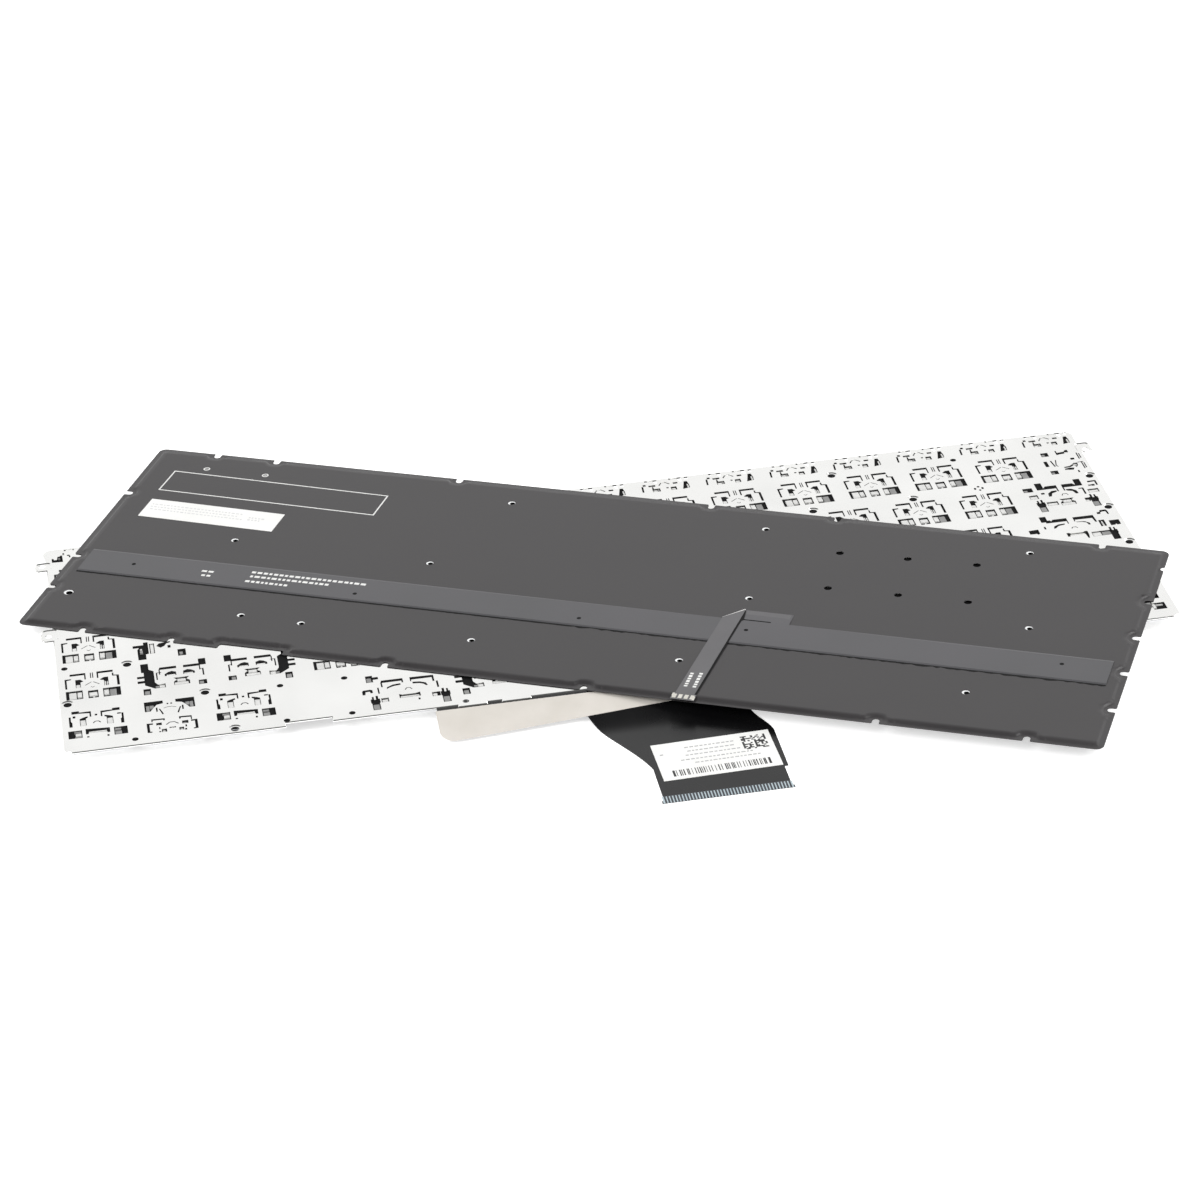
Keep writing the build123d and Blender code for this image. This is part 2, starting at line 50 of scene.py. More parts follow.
# Key caps: moulded ABS with a silver lacquer, each clipped to its scissor. They stand on their tops.
# A cap has drafted sides, a rounded rim and a top dished by a sixth of a millimetre.
KEY_PITCH, ROW_PITCH, KEY_GAP = 18.7, 18.9, 3.0
BOARD_END = 144.7
NEAR_EDGE = -53.45
ROW_Y = {"space": -41.2, "lower": -22.3, "middle": -3.4, "upper": 15.5, "number": 34.4, "function": 48.85}
FUNCTION_DEPTH = 10.0
STACK_X, STACK_SHIFT, HALF_DEPTH = -116.65, 4.325, 10.25
LETTERS = KEY_PITCH
ROW_CELLS = {
    "function": [("", 18.0875)] * 15 + [("last", 18.0875)],
    "number": [("", 15.4)] + [("", LETTERS)] * 12 + [("", 30.9), ("", LETTERS)],
    "upper": [("", 24.75)] + [("", LETTERS)] * 12 + [("", 21.55), ("", LETTERS)],
    "middle": [("caps_lock_key", 29.425)]
    + [("key_" + k, LETTERS) for k in "a s d f g h j k l semicolon quote".split()]
    + [("enter_key", 35.575), ("page_down_key", LETTERS)],
    "lower": [("left_shift_key", 38.775)]
    + [("key_" + k, LETTERS) for k in "z x c v b n m comma period slash".split()]
    + [("right_shift_key", 44.925), ("end_key", LETTERS)],
    "space": [("control_key", 29.5), ("function_key", LETTERS), ("system_key", 21.1),
              ("left_alt_key", 21.1), ("space_bar", 100.5), ("right_alt_key", 21.1), (None, 21.3),
              ("left_arrow_key", LETTERS), (None, LETTERS), ("right_arrow_key", LETTERS)],
}
CAP_RINGS = [(1.0, 1.3), (0.0, 1.3), (0.33, 0.22), (0.45, 0.06), (0.72, 0.0)]
CAP_DISH = [(0.6, 0.10), (0.25, 0.16)]
CAP_CORNER, CORNER_TAPER, TOP_CORNER = 1.2, 0.8, 0.7
CAP_BACK, GROOVE_FLOOR, GROOVE_ROOM = 1.3, 0.6, 0.15


def hex_to_linear(code):
    """sRGB hex to linear colour: divided near black, a 2.4 power above."""
    srgb = np.array([int(code[i:i + 2], 16) for i in (1, 3, 5)]) / 255
    linear = np.where(srgb <= 0.04045, srgb / 12.92, ((srgb + 0.055) / 1.055) ** 2.4)
    return (*linear.tolist(), 1.0)


def add_node(material, kind, settings, links=()):
    """Adds one node, sets its properties or sockets, and joins each (socket, output) link to it."""
    tree = material.node_tree
    node = tree.nodes.new("ShaderNode" + kind)
    for key, value in settings.items():
        if isinstance(key, str) and hasattr(node, key):
            setattr(node, key, value)
        else:
            node.inputs[key].default_value = value
    for socket, output in links:
        tree.links.new(output, node.inputs[socket])
    return node


# Real grain is a few hundredths of a millimetre. It is drawn at 0.15 to 0.8 mm, as finer would not show.
def surface(name, tones, patch_mm, grain_mm, relief_mm, rough, shader=None, stretch=(1, 1, 1),
            wave=(25, 0)):
    """Material whose colour drifts between two tones over patches of a real size, whose roughness
    drifts with it, and whose surface is lifted by a fine grain and a wide wave of real heights."""
    material = bpy.data.materials.new(name)
    material.use_nodes = True
    bsdf = material.node_tree.nodes["Principled BSDF"]
    place = add_node(material, "TexCoord", {}).outputs["Object"]
    patch = add_node(material, "TexNoise", {"Scale": 1000 / patch_mm, "Detail": 3.0}, [("Vector", place)])
    along = add_node(material, "Mapping", {"Scale": stretch}, [("Vector", place)])
    grain = add_node(material, "TexNoise", {"Scale": 1000 / grain_mm, "Detail": 2.0},
                     [("Vector", along.outputs["Vector"])])
    swell = add_node(material, "TexNoise", {"Scale": 1000 / wave[0], "Detail": 1.0}, [("Vector", place)])
    span = {"From Min": 0.3, "From Max": 0.7}  # where most of a noise's values lie
    even = add_node(material, "MapRange", span, [("Value", patch.outputs["Fac"])])
    colour = add_node(material, "Mix", {"data_type": "RGBA", 6: hex_to_linear(tones[0]),
                                        7: hex_to_linear(tones[1])}, [(0, even.outputs["Result"])])
    gloss = add_node(material, "MapRange", {**span, "To Min": rough[0], "To Max": rough[1]},
                     [("Value", patch.outputs["Fac"])])
    waves = add_node(material, "Bump", {"Strength": 1.0, "Distance": wave[1] / 1000},
                     [("Height", swell.outputs["Fac"])])
    bump = add_node(material, "Bump", {"Strength": 1.0, "Distance": relief_mm / 1000},
                    [("Height", grain.outputs["Fac"]), ("Normal", waves.outputs["Normal"])])
    tree = material.node_tree
    tree.links.new(colour.outputs[2], bsdf.inputs["Base Color"])
    tree.links.new(gloss.outputs["Result"], bsdf.inputs["Roughness"])
    tree.links.new(bump.outputs["Normal"], bsdf.inputs["Normal"])
    for socket, value in (shader or {}).items():
        bsdf.inputs[socket].default_value = value
    return material


def dress(node, material):
    """Gives a CAD node that keeps its shape its material."""
    mesh = nodes[node].data
    mesh.materials.clear()
    mesh.materials.append(material)


def add_piece(name, points, faces, material, slot, body=BASE, replaced=(), sharp=35):
    """Mesh from points in mm and a list of faces, riding on a body and standing for CAD nodes."""
    mesh = bpy.data.meshes.new(name)
    mesh.from_pydata((np.asarray(points) / 1000).tolist(), [], faces)
    mesh.shade_smooth()
    mesh.set_sharp_from_angle(angle=np.radians(sharp))
    mesh.materials.append(material)
    piece = bpy.data.objects.new(name, mesh)
    bpy.context.collection.objects.link(piece)
    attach(piece, body)
    if replaced:
        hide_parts(*replaced)
    return piece


def join_shells(shells):
    """Puts several (points, faces) shells into one, each with its faces counted on from the last."""
    starts = np.cumsum([0] + [len(points) for points, faces in shells])
    faces = [[i + start for i in face] for start, (points, some) in zip(starts, shells) for face in some]
    return np.concatenate([points for points, some in shells]), faces


def rounded_path(width, depth, radius, corner_points=8):
    """Rounded rectangle, counter-clockwise: a quarter circle set at each of the four corners."""
    quarter = np.linspace(0, np.pi / 2, corner_points)
    turn = np.concatenate([quarter + k * np.pi / 2 for k in range(4)])
    corner = np.repeat([[1, 1], [-1, 1], [-1, -1], [1, -1]], corner_points, axis=0)
    middle = corner * (np.array([width, depth]) / 2 - radius)
    return middle + radius * np.stack([np.cos(turn), np.sin(turn)], axis=1)


def ring_stack(rings, looped=False):
    """Closed shell through rings of equal count, each a counter-clockwise loop below the one before:
    quads join neighbouring rings, and one face closes each end, or quads join the last to the first."""
    rings = np.asarray(rings)
    count, size = rings.shape[:2]
    index = np.arange(count * size).reshape(count, size)
    if looped:
        index = np.concatenate([index, index[:1]])
    after = np.roll(index, -1, axis=1)
    quads = np.stack([index[:-1], index[1:], after[1:], after[:-1]], axis=-1).reshape(-1, 4)
    ends = [] if looped else [index[0].tolist(), index[-1, ::-1].tolist()]
    return rings.reshape(-1, 3), quads.tolist() + ends


def raised(path, z):
    """Plane loop set at a height."""
    return np.column_stack([path, np.full(len(path), z)])


def block(x0, y0, x1, y1):
    """Rectangular loop, counter-clockwise."""
    return [(x0, y0), (x1, y0), (x1, y1), (x0, y1)]


def punched_net(outline, holes=(), inner=None):
    """Flat net of an outline less its holes: a constrained Delaunay triangulation of every corner
    and inner point, of which the triangles in the outline alone are kept. Every loop is first turned
    counter-clockwise, by the sign of its area: half the sum of x times the change in y."""
    loops = [np.asarray(loop, float) for loop in (outline, *holes)]
    areas = [np.sum(loop[:, 0] * (np.roll(loop[:, 1], -1) - np.roll(loop[:, 1], 1))) for loop in loops]
    loops = [loop if area > 0 else loop[::-1] for loop, area in zip(loops, areas)]
    ends = np.cumsum([0] + [len(loop) for loop in loops])
    corners = np.concatenate(loops + ([inner] if inner is not None else []))
    rims = [list(range(start, end)) for start, end in zip(ends, ends[1:])]
    points, _, triangles, _, _, origins = delaunay_2d_cdt([Vector(p) for p in corners], [], rims, 1, 1e-4)
    kept = np.array([triangle for triangle, origin in zip(triangles, origins) if origin == [0]])
    used, kept = np.unique(kept, return_inverse=True)
    points, kept = np.array([p[:] for p in points])[used], kept.reshape(-1, 3)
    a, b, c = points[kept].transpose(1, 0, 2)
    turned = (b[:, 0] - a[:, 0]) * (c[:, 1] - a[:, 1]) < (c[:, 0] - a[:, 0]) * (b[:, 1] - a[:, 1])
    kept[turned] = kept[turned][:, ::-1]
    return points, kept


def welded(points, faces):
    """Shell whose points at one place, to a thousandth of a millimetre, are one point."""
    points, back = np.unique(np.asarray(points, float).round(3), axis=0, return_inverse=True)
    back = back.reshape(-1)
    return points, [[int(back[i]) for i in face] for face in faces]


def split_by_key(node, keys):
    """CAD node's mesh in mm cut up by key: for each key the faces whose middles lie in its cell, and
    under the name fixed_rows those that lie in none."""
    mesh = nodes[node].data
    points = np.empty(3 * len(mesh.vertices))
    mesh.vertices.foreach_get("co", points)
    points, faces = welded(1000 * points.reshape(-1, 3), [face.vertices for face in mesh.polygons])
    faces = np.array(faces)
    x, y, _ = points[faces].mean(axis=1).T
    owner = np.full(len(faces), len(keys))
    for i, (_, key_x, key_y, width, depth) in enumerate(keys):
        owner[(np.abs(x - key_x) < width / 2) & (np.abs(y - key_y) < depth / 2)] = i
    names = [key[0] for key in keys] + ["fixed_rows"]
    parts = {}
    for i in np.unique(owner):
        used, some = np.unique(faces[owner == i], return_inverse=True)
        parts[names[i]] = points[used], some.reshape(-1, 3).tolist()
    return parts


def cap_shell(x, y, width, depth, wire=None):
    """Cap: rings of a rounded rectangle, inset as they go down the drafted side and over the rim,
    then shrunk by shares of the top for the dish. Its back has a groove round a stabiliser wire."""
    rings = [raised(rounded_path(width - 2 * inset, depth - 2 * inset,
                                 CAP_CORNER - CORNER_TAPER * inset), z) for inset, z in CAP_RINGS]
    top = rounded_path(width - 2 * CAP_RINGS[-1][0], depth - 2 * CAP_RINGS[-1][0], TOP_CORNER)
    rings += [raised(top * share, z) for share, z in CAP_DISH]
    if wire is None:
        points, faces = ring_stack(rings)
        return points + [x, y, 0], faces
    points, faces = ring_stack(rings[1:])
    points = points + [x, y, 0]
    groove = block(*(wire[0][:, :2].min(axis=0) - GROOVE_ROOM), *(wire[0][:, :2].max(axis=0) + GROOVE_ROOM))
    back, triangles = punched_net(points[:len(rings[1]), :2], [groove])
    walls, sides = ring_stack([raised(groove, GROOVE_FLOOR), raised(groove, CAP_BACK)])
    return welded(*join_shells([(points, faces[:-2] + faces[-1:]),
                                (raised(back, CAP_BACK), triangles.tolist()), (walls, sides[:-1])]))


def row_keys(row):
    """Name, middle and cell of each key of a row, laid from the +X end; a nameless place is empty."""
    names, widths = zip(*ROW_CELLS[row])
    ends = BOARD_END - np.cumsum(widths)
    depth = FUNCTION_DEPTH if row == "function" else ROW_PITCH
    return [(name, end + width / 2, ROW_Y[row], width, depth)
            for name, end, width in zip(names, ends, widths) if name is not None]


# Lacquer over moulded ABS: fine flakes give a soft metal sheen without a mirror.
silver_lacquer = surface("silver_lacquer_on_ABS", ("#c9cacc", "#bfc0c3"), 14, 0.25, 0.004, (0.34, 0.42),
                         {"Metallic": 0.35})
STACK_KEYS = [("up_arrow_key", STACK_X, ROW_Y["space"] + STACK_SHIFT, KEY_PITCH, HALF_DEPTH),
              ("down_arrow_key", STACK_X, ROW_Y["space"] - STACK_SHIFT, KEY_PITCH, HALF_DEPTH)]
moving_keys = row_keys("middle") + row_keys("lower") + row_keys("space") + STACK_KEYS
wires = split_by_key("stabiliser_wires", moving_keys)
for name, x, y, width, depth in moving_keys:
    shell = cap_shell(x, y, width - KEY_GAP, depth - KEY_GAP, wires.get(name))
    add_piece(name + "_cap", *shell, silver_lacquer, "cap_plastic", body=name, replaced=[name])
for row, node in (("function", "function_row_caps"), ("number", "number_row_caps"),
                  ("upper", "upper_letter_row_caps")):
    shells = [cap_shell(x, y, width - KEY_GAP, depth - KEY_GAP)
              for name, x, y, width, depth in row_keys(row)]
    add_piece(node.replace("_caps", "_moulded_caps"), *join_shells(shells), silver_lacquer, "cap_plastic",
              replaced=[node])


# Scissor levers, rubber domes and stabiliser wires: what carries each cap. The levers are moulded
# in grey acetal, the domes are milky silicone and the wires are drawn steel. Levers and domes keep the
# CAD's shapes, and under a key that moves they get a mesh of their own.
# Acetal dyed grey: waxy, with broad dull highlights.
acetal = surface("grey_acetal", ("#a3a3a1", "#989896"), 6, 0.2, 0.003, (0.42, 0.5))
# Milky silicone: pale and almost without shine.
silicone = surface("milky_silicone", ("#d3d3cd", "#c6c6bf"), 5, 0.3, 0.004, (0.5, 0.6))
for node, ending, material, slot in (("scissor_links", "_levers", acetal, "lever_plastic"),
                                     ("rubber_domes", "_domes", silicone, "dome_rubber")):
    for name, shell in split_by_key(node, moving_keys).items():
        part = add_piece(name + ending, *shell, material, slot, replaced=[node])
        if name != "fixed_rows":
            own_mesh(part)
# Drawn steel: bright metal with narrow highlights.
dress("stabiliser_wires", surface("drawn_steel", ("#b9b9b8", "#a6a6a6"), 3, 0.2, 0.002, (0.28, 0.36),
                                  {"Metallic": 1.0}))


# Switch membrane: three polyester films. The rear one is black, and its tail comes out under the
# plate's near edge, drops to the table and carries the contacts at its end.
FILM_HALF_X, FILM_HALF_Y = 143.2, 51.05
REAR_FILM_Z, FILM_THICK = 3.05, 0.1
FALL_START, FALL_LENGTH = -54.45, 17.0
TAIL_LEFT, TAIL_RIGHT, TAIL_END = -51.0, 27.0, -105.45
WIDE_EDGE, WIDE_RISE, WIDE_RISE_END, TAIL_CORNER = NEAR_EDGE - 12.8, 5.0, 12.0, 3.6
CABLE_LEFT, CABLE_RIGHT, CABLE_BULGE, CABLE_SHOULDER = -1.6, 30.2, 31.2, -13.5
CABLE_WAIST, CABLE_NECK, CABLE_STIFF = -77.85, -89.45, -95.45
END_FLARE, BEND_STEP = 1.2, (2.0, 0.85)
PAPER_LAP, SIDE_POINTS = 0.5, 14
TAIL_BEND = (-50, 31, -72, -54.4)


def tail_height(y):
    """Lower face of the tail: level, then half a cosine wave down to the table."""
    share = np.clip((FALL_START - y) / FALL_LENGTH, 0, 1)
    return REAR_FILM_Z * (1 + np.cos(np.pi * share)) / 2


def wide_tail_y(x):
    """Free edge of the tail's wide part: a slanting straight line."""
    return WIDE_EDGE + WIDE_RISE * (x - TAIL_LEFT) / (WIDE_RISE_END - TAIL_LEFT)


def wide_tail_side(inset, top):
    """Left side of the wide part from a level down, and a quarter circle at its corner."""
    left = TAIL_LEFT + inset
    turn = np.linspace(np.pi, 1.5 * np.pi, 9)
    low = wide_tail_y(left + TAIL_CORNER) + inset
    corner = np.column_stack([left + TAIL_CORNER * (1 + np.cos(turn)),
                              low + TAIL_CORNER * (1 + np.sin(turn))])
    side = np.linspace(top, low + TAIL_CORNER, SIDE_POINTS, endpoint=False)
    return np.concatenate([np.column_stack([np.full(SIDE_POINTS, left), side]), corner])


def ease(start, end, count, bend=0.5):
    """Smooth run between two points: even steps in y, and in x a blend of a line and half a cosine."""
    t = np.linspace(0, 1, count)[:, None]
    side = (1 - bend) * t + bend * (1 - np.cos(np.pi * t)) / 2
    start, end = np.array(start), np.array(end)
    return np.column_stack([start[0] + (end[0] - start[0]) * side, start[1] + (end[1] - start[1]) * t])


def grid_points(x0, x1, y0, y1, step_x, step_y):
    """Inner points of a net: a plain grid."""
    x, y = np.meshgrid(np.arange(x0, x1, step_x), np.arange(y0, y1, step_y))
    return np.column_stack([x.ravel(), y.ravel()])


def sheet_shell(net, low, high):
    """Closed sheet on a net: the net at its upper and its lower heights, and a wall on every edge
    that only one triangle has."""
    points, triangles = net
    count = len(points)
    upper = np.column_stack([points, np.broadcast_to(high, count)])
    lower = np.column_stack([points, np.broadcast_to(low, count)])
    edges = np.concatenate([triangles[:, [0, 1]], triangles[:, [1, 2]], triangles[:, [2, 0]]])
    rim = edges[~np.isin(edges[:, 1] * count + edges[:, 0], edges[:, 0] * count + edges[:, 1])]
    walls = np.column_stack([rim[:, 0], rim[:, 0] + count, rim[:, 1] + count, rim[:, 1]])
    faces = triangles.tolist() + (triangles[:, ::-1] + count).tolist() + walls.tolist()
    return np.concatenate([upper, lower]), faces


def tail_outline():
    """Tail of the rear film: straight edges, and eased runs down both sides of the cable."""
    shoulder = ease((CABLE_SHOULDER, wide_tail_y(CABLE_SHOULDER)), (CABLE_LEFT, CABLE_NECK), 18, 0.35)
    right = ease((CABLE_BULGE, CABLE_WAIST), (TAIL_RIGHT, WIDE_EDGE), 8)
    side = wide_tail_side(PAPER_LAP, -FILM_HALF_Y)
    free = np.linspace(side[-1, 0], CABLE_SHOULDER, 14)[1:-1]
    root = np.linspace(WIDE_EDGE, -FILM_HALF_Y, 19)[1:]
    return np.concatenate([
        side, np.column_stack([free, wide_tail_y(free) + PAPER_LAP]), shoulder,
        [(CABLE_LEFT, TAIL_END + END_FLARE), (CABLE_LEFT - END_FLARE / 2, TAIL_END + END_FLARE),
         (CABLE_LEFT - END_FLARE / 2, TAIL_END), (CABLE_RIGHT + END_FLARE / 2, TAIL_END),
         (CABLE_RIGHT + END_FLARE / 2, TAIL_END + END_FLARE), (CABLE_RIGHT, TAIL_END + END_FLARE),
         (CABLE_RIGHT, CABLE_STIFF), (CABLE_BULGE, CABLE_STIFF)],
        right, np.column_stack([np.full(len(root), TAIL_RIGHT), root])])


# Black polyester film: smooth, so it shows a clear sheen where it bends.
black_polyester = surface("black_polyester_film", ("#0b0b0c", "#111112"), 22, 0.6, 0.003, (0.24, 0.32),
                          {"Specular IOR Level": 0.42})
net = punched_net(tail_outline(), inner=grid_points(*TAIL_BEND, *BEND_STEP))
low = tail_height(net[0][:, 1])
add_piece("printed_tail_film", *sheet_shell(net, low, low + FILM_THICK), black_polyester, "black_film",
          replaced=["rear_circuit_film"], sharp=50)
# Circuit print on the film: flat black behind the plate's windows.
matte_print = surface("matte_black_circuit_print", ("#101010", "#161617"), 20, 0.5, 0.004, (0.7, 0.8),
                      {"Specular IOR Level": 0.12})
net = punched_net(block(-FILM_HALF_X, -FILM_HALF_Y, FILM_HALF_X, FILM_HALF_Y))
add_piece("printed_rear_film", *sheet_shell(net, REAR_FILM_Z, REAR_FILM_Z + FILM_THICK), matte_print,
          "black_film", replaced=["rear_circuit_film"])
dress("front_circuit_film", black_polyester)
# Clear polyester: seen only at its edge, as a pale glossy line.
dress("spacer_film", surface("clear_polyester_film", ("#b9bcbf", "#c4c7c9"), 30, 0.6, 0.002, (0.18, 0.26)))


# Back plate: bright rolled aluminium sheet, punched and hooked for every key, with ears at its ends.
# Each key's scissor turns in hooks that the press bends out of its cut-outs.
PLATE_HALF_X, PLATE_HALF_Y, PLATE_LOW, PLATE_TOP = 144.2, 53.45, 3.15, 3.55
PLATE_CORNER, PLATE_RIM, RIM_FALL = 2.4, 0.22, 0.19
EARS = [(-145.4, 45.15, -2.9, 1.9), (-145.4, 6.55, -2.9, 3.6), (145.4, 42.05, -1.9, 4.0)]
EAR_REACH, EAR_HOLE, EAR_CUT, LEFT_STEP = 147.3, 0.9, 0.5, (-0.7, 0.4)
DISH_ROOT, DISH_RIM, DISH_FLANK, DISH_CORNER, DISH_FLOOR = 142.8, 0.35, 0.3, 1.1, 3.37
LUGS = (-41.3, -30.1)
LUG_HALF, LUG_REACH = 3.8, 0.9
RECESS = (-88.6, -76.8, 1.9)
BOSSES = [(73.2, 43.85), (91.9, 24.95), (63.85, 24.95), (-126, -12.85), (-107.3, -31.75), (-101.3, -51.35),
          (-142.2, -29.6), (142.2, 26.4), (142.2, 7.9), (142.2, -12.3)]
SEAT_PROFILE = [(1.08, 3.15), (1.08, 3.36), (1.45, 3.36), (1.78, 3.55), (1.78, 3.15)]
SEAT_POINTS = 28
PLAIN_HOLES = [(108, 44.3), (-88.2, -33.2), (-71.7, -33.3), (-126.3, -50.6), (-88.1, -50.6), (-71.6, -50.9),
               (-42.8, -52.0), (-142.1, -11.5)]
PIN_HOLES = [(109.7, 26.4, 0.35, 0.6), (111.8, 26.4, 0.35, 0.6), (110.8, 27.4, 0.4, 0.45),
             (110.9, 25.4, 0.35, 0.4)]
PLAIN_HOLE = 0.85
TWO_MOUNTS, ALT_WIDTHS, NARROW_WIDTH, MOUNT_INSET = 43.0, (20.5, 21.5), 16.0, 13.1
CORNER_WINDOWS = [(138.1, -49.1, 141.6, -45.7), (139.9, -43.4, 141.1, -39.8)]
CORNER_LEVERS = [(138.2, -48.2, 139.0, -45.9), (139.0, -46.8, 141.0, -46.2)]


def mirrored(loop):
    """The same loop on the other side of the key's middle, its order turned back."""
    return [(-x, y) for x, y in loop[::-1]]


def circle(x, y, radius, count=20):
    """Loop of points round a circle."""
    turn = np.linspace(0, 2 * np.pi, count, endpoint=False)
    return np.column_stack([x + radius * np.cos(turn), y + radius * np.sin(turn)])


def stroke(x0, y0, x1, y1, width):
    """Loop of a straight thin cut with square ends."""
    run = np.array([x1 - x0, y1 - y0])
    side = np.array([-run[1], run[0]]) / np.hypot(*run) * width / 2
    a, b = np.array([x0, y0]), np.array([x1, y1])
    return [tuple(a - side), tuple(b - side), tuple(b + side), tuple(a + side)]


def cut_loop(cut):
    """Loop of one cut: four numbers are a rectangle's corners, five the ends and the width of a stroke,
    and pairs are the loop's own points."""
    if np.ndim(cut) == 2:
        return cut
    return block(*cut) if len(cut) == 4 else stroke(*cut)


SQUARE_CUTS = [
    [(-5.6, 6.5), (-1.9, 6.5), (-1.9, 4.2), (-1.55, 4.2), (-1.55, 7.5), (-5.6, 7.5)],
    [(1.3, 4.2), (1.7, 4.2), (1.7, 6.5), (5.5, 6.5), (5.5, 7.5), (1.3, 7.5)],
    [(-7.0, 0.2), (-6.5, 0.2), (-6.5, 4.5), (-5.3, 4.7), (-5.3, 5.2), (-7.0, 5.2)],
    [(6.3, -0.4), (6.95, -0.4), (6.95, 4.7), (5.6, 4.9), (5.6, 6.0), (5.2, 6.0), (5.2, 4.5), (6.3, 4.3)],
    [(-4.3, 0.4), (-3.0, 0.4), (-3.0, 2.9), (-2.2, 3.3), (-3.0, 4.4), (-4.3, 4.4)],
    [(3.0, 0.0), (4.15, 0.0), (4.15, 4.3), (3.0, 4.3), (2.1, 3.5), (2.1, 3.1), (3.0, 2.8)],
    (-0.4, 4.6, -0.15, 7.3), (0.15, 4.6, 0.4, 7.3), (-1.9, 1.2, -0.2, 2.6, 0.22),
    (0.2, 2.6, 1.8, 1.1, 0.22), (-0.5, 0.3, 0.0, -0.2, 0.18), (0.0, -0.2, 0.5, 0.3, 0.18),
    (-7.0, -5.4, -2.7, -1.1), (-1.35, -5.5, 1.25, -1.7), (2.5, -5.6, 7.0, -1.3)]
SQUARE_PALE = [(-6.2, -5.1, -4.3, -1.6), (-4.1, -4.4, -2.9, -1.7), (-1.1, -4.3, 1.0, -2.3),
               (-0.2, -5.3, 0.3, -4.5), (2.7, -4.5, 4.0, -1.8), (-4.2, 0.5, -3.1, 2.2),
               (3.1, 0.1, 3.5, 2.6), (3.7, 0.1, 4.05, 2.4)]
SQUARE_GREY = [(4.2, -5.4, 5.9, -1.9)]
WIDE_FAN = [(-4.2, 1.6), (-3.4, 1.6), (-2.9, 3.2), (-1.4, 3.9), (-1.3, 4.7), (-2.8, 4.6), (-4.0, 3.4)]
WIDE_BAR = [(-6.4, 5.8), (-1.1, 5.8), (-1.1, 4.0), (-0.7, 4.0), (-0.7, 7.6), (-3.8, 7.6), (-4.5, 6.6),
            (-4.5, 9.7), (-6.4, 9.7)]
HOURGLASS = [(-2.0, -4.1), (2.1, -4.1), (2.1, -2.4), (1.3, -1.4), (2.1, -0.4), (-2.0, -0.4), (-1.2, -1.4),
             (-2.0, -2.4)]
COMB = [(-8.4, -6.6), (-6.4, -6.6), (-6.4, -3.4), (-6.2, -3.0), (-6.2, -1.2), (-6.6, -1.2), (-6.6, 0.3),
        (-7.2, 0.3), (-7.2, -1.5), (-7.7, -1.5), (-7.7, 0.0), (-8.2, 0.0), (-8.2, -1.2), (-8.6, -1.2),
        (-8.6, -3.0), (-8.4, -3.4)]
WIDE_CUTS = [
    WIDE_BAR, mirrored(WIDE_BAR), WIDE_FAN, mirrored(WIDE_FAN), HOURGLASS, COMB, mirrored(COMB),
    (-10.3, 5.2, -7.6, 7.5), (-9.5, 1.0, -7.1, 3.3), (7.0, 1.2, 10.0, 3.3),
    [(8.2, 7.0), (10.1, 7.2), (10.1, 5.1), (10.6, 5.1), (10.6, 7.9), (8.2, 7.9)], (7.9, 4.8, 9.7, 5.8),
    (-5.9, 3.2, -4.9, 4.1), [(4.8, 4.0), (5.7, 4.0), (5.7, 0.8), (6.2, 0.8), (6.2, 4.5), (4.8, 4.5)],
    (-5.8, -3.5, -2.7, -1.4), (4.9, -3.5, 6.2, -1.4), (-0.6, 1.4, -0.2, 2.3, 0.25),
    (-0.2, 2.3, 0.8, 2.3, 0.25), (0.8, 2.3, 1.2, 1.4, 0.25)]
WIDE_PALE = [(-1.8, -3.9, 1.9, -2.5), (-1.1, -2.3, 1.2, -0.8), (-5.6, -3.3, -2.9, -1.8),
             (5.0, -3.3, 6.0, -2.2), (-9.3, 1.2, -7.3, 2.9), (7.2, 1.4, 9.8, 2.9), (8.0, 4.9, 9.0, 5.5)]
WIDE_GREY = [(-8.2, -6.3, -6.6, -3.6), (6.6, -6.3, 8.2, -3.6), (-10.1, 5.4, -9.0, 6.8)]
ALT_CUTS = [
    [(-9.7, 4.0), (-7.9, 4.0), (-7.9, 5.2), (-6.5, 5.2), (-6.5, 6.4), (-7.9, 6.4), (-7.9, 7.3),
     (-9.7, 7.3)],
    [(-6.2, 1.0), (-5.8, 1.0), (-5.8, 3.1), (-0.8, 3.1), (-0.8, 2.2), (-0.4, 2.2), (-0.4, 4.3), (-5.9, 4.3),
     (-6.2, 3.2)],
    [(1.4, 2.2), (1.7, 2.2), (1.7, 3.0), (7.0, 3.0), (7.0, 1.0), (7.5, 1.0), (7.5, 4.1), (1.4, 4.3)],
    [(-4.9, -0.2), (-4.3, 0.3), (-3.0, 0.9), (-1.2, 1.1), (-1.2, 1.9), (-3.2, 1.7), (-4.8, 0.7)],
    [(1.9, 1.0), (3.6, 0.8), (4.6, 0.2), (5.1, -0.6), (5.6, -0.6), (5.2, 0.8), (3.8, 1.6), (1.9, 1.9)],
    [(-11.3, -1.9), (-10.6, -1.9), (-10.4, -0.5), (-9.3, -0.5), (-9.2, -1.3), (-8.6, -1.3), (-8.6, 0.2),
     (-9.2, 0.5), (-11.0, 0.4), (-11.3, -0.3)], (-7.3, -2.0, -6.9, 1.0), (7.8, -2.2, 8.3, 1.0),
    (-0.4, -1.6, 0.1, -0.7, 0.25), (0.1, -0.7, 0.9, -0.7, 0.25), (0.9, -0.7, 1.4, -1.6, 0.25),
    [(-2.2, -5.4), (3.2, -5.4), (3.2, -3.4), (2.0, -3.8), (-1.4, -3.8), (-2.2, -3.4)],
    (2.4, -7.2, 2.9, -6.3), [(x - 1.0, y - 3.2) for x, y in COMB],
    [(x + 2.1, y - 3.3) for x, y in mirrored(COMB)], (-6.9, -6.4, -5.0, -4.4), (6.1, -6.5, 8.2, -4.4)]
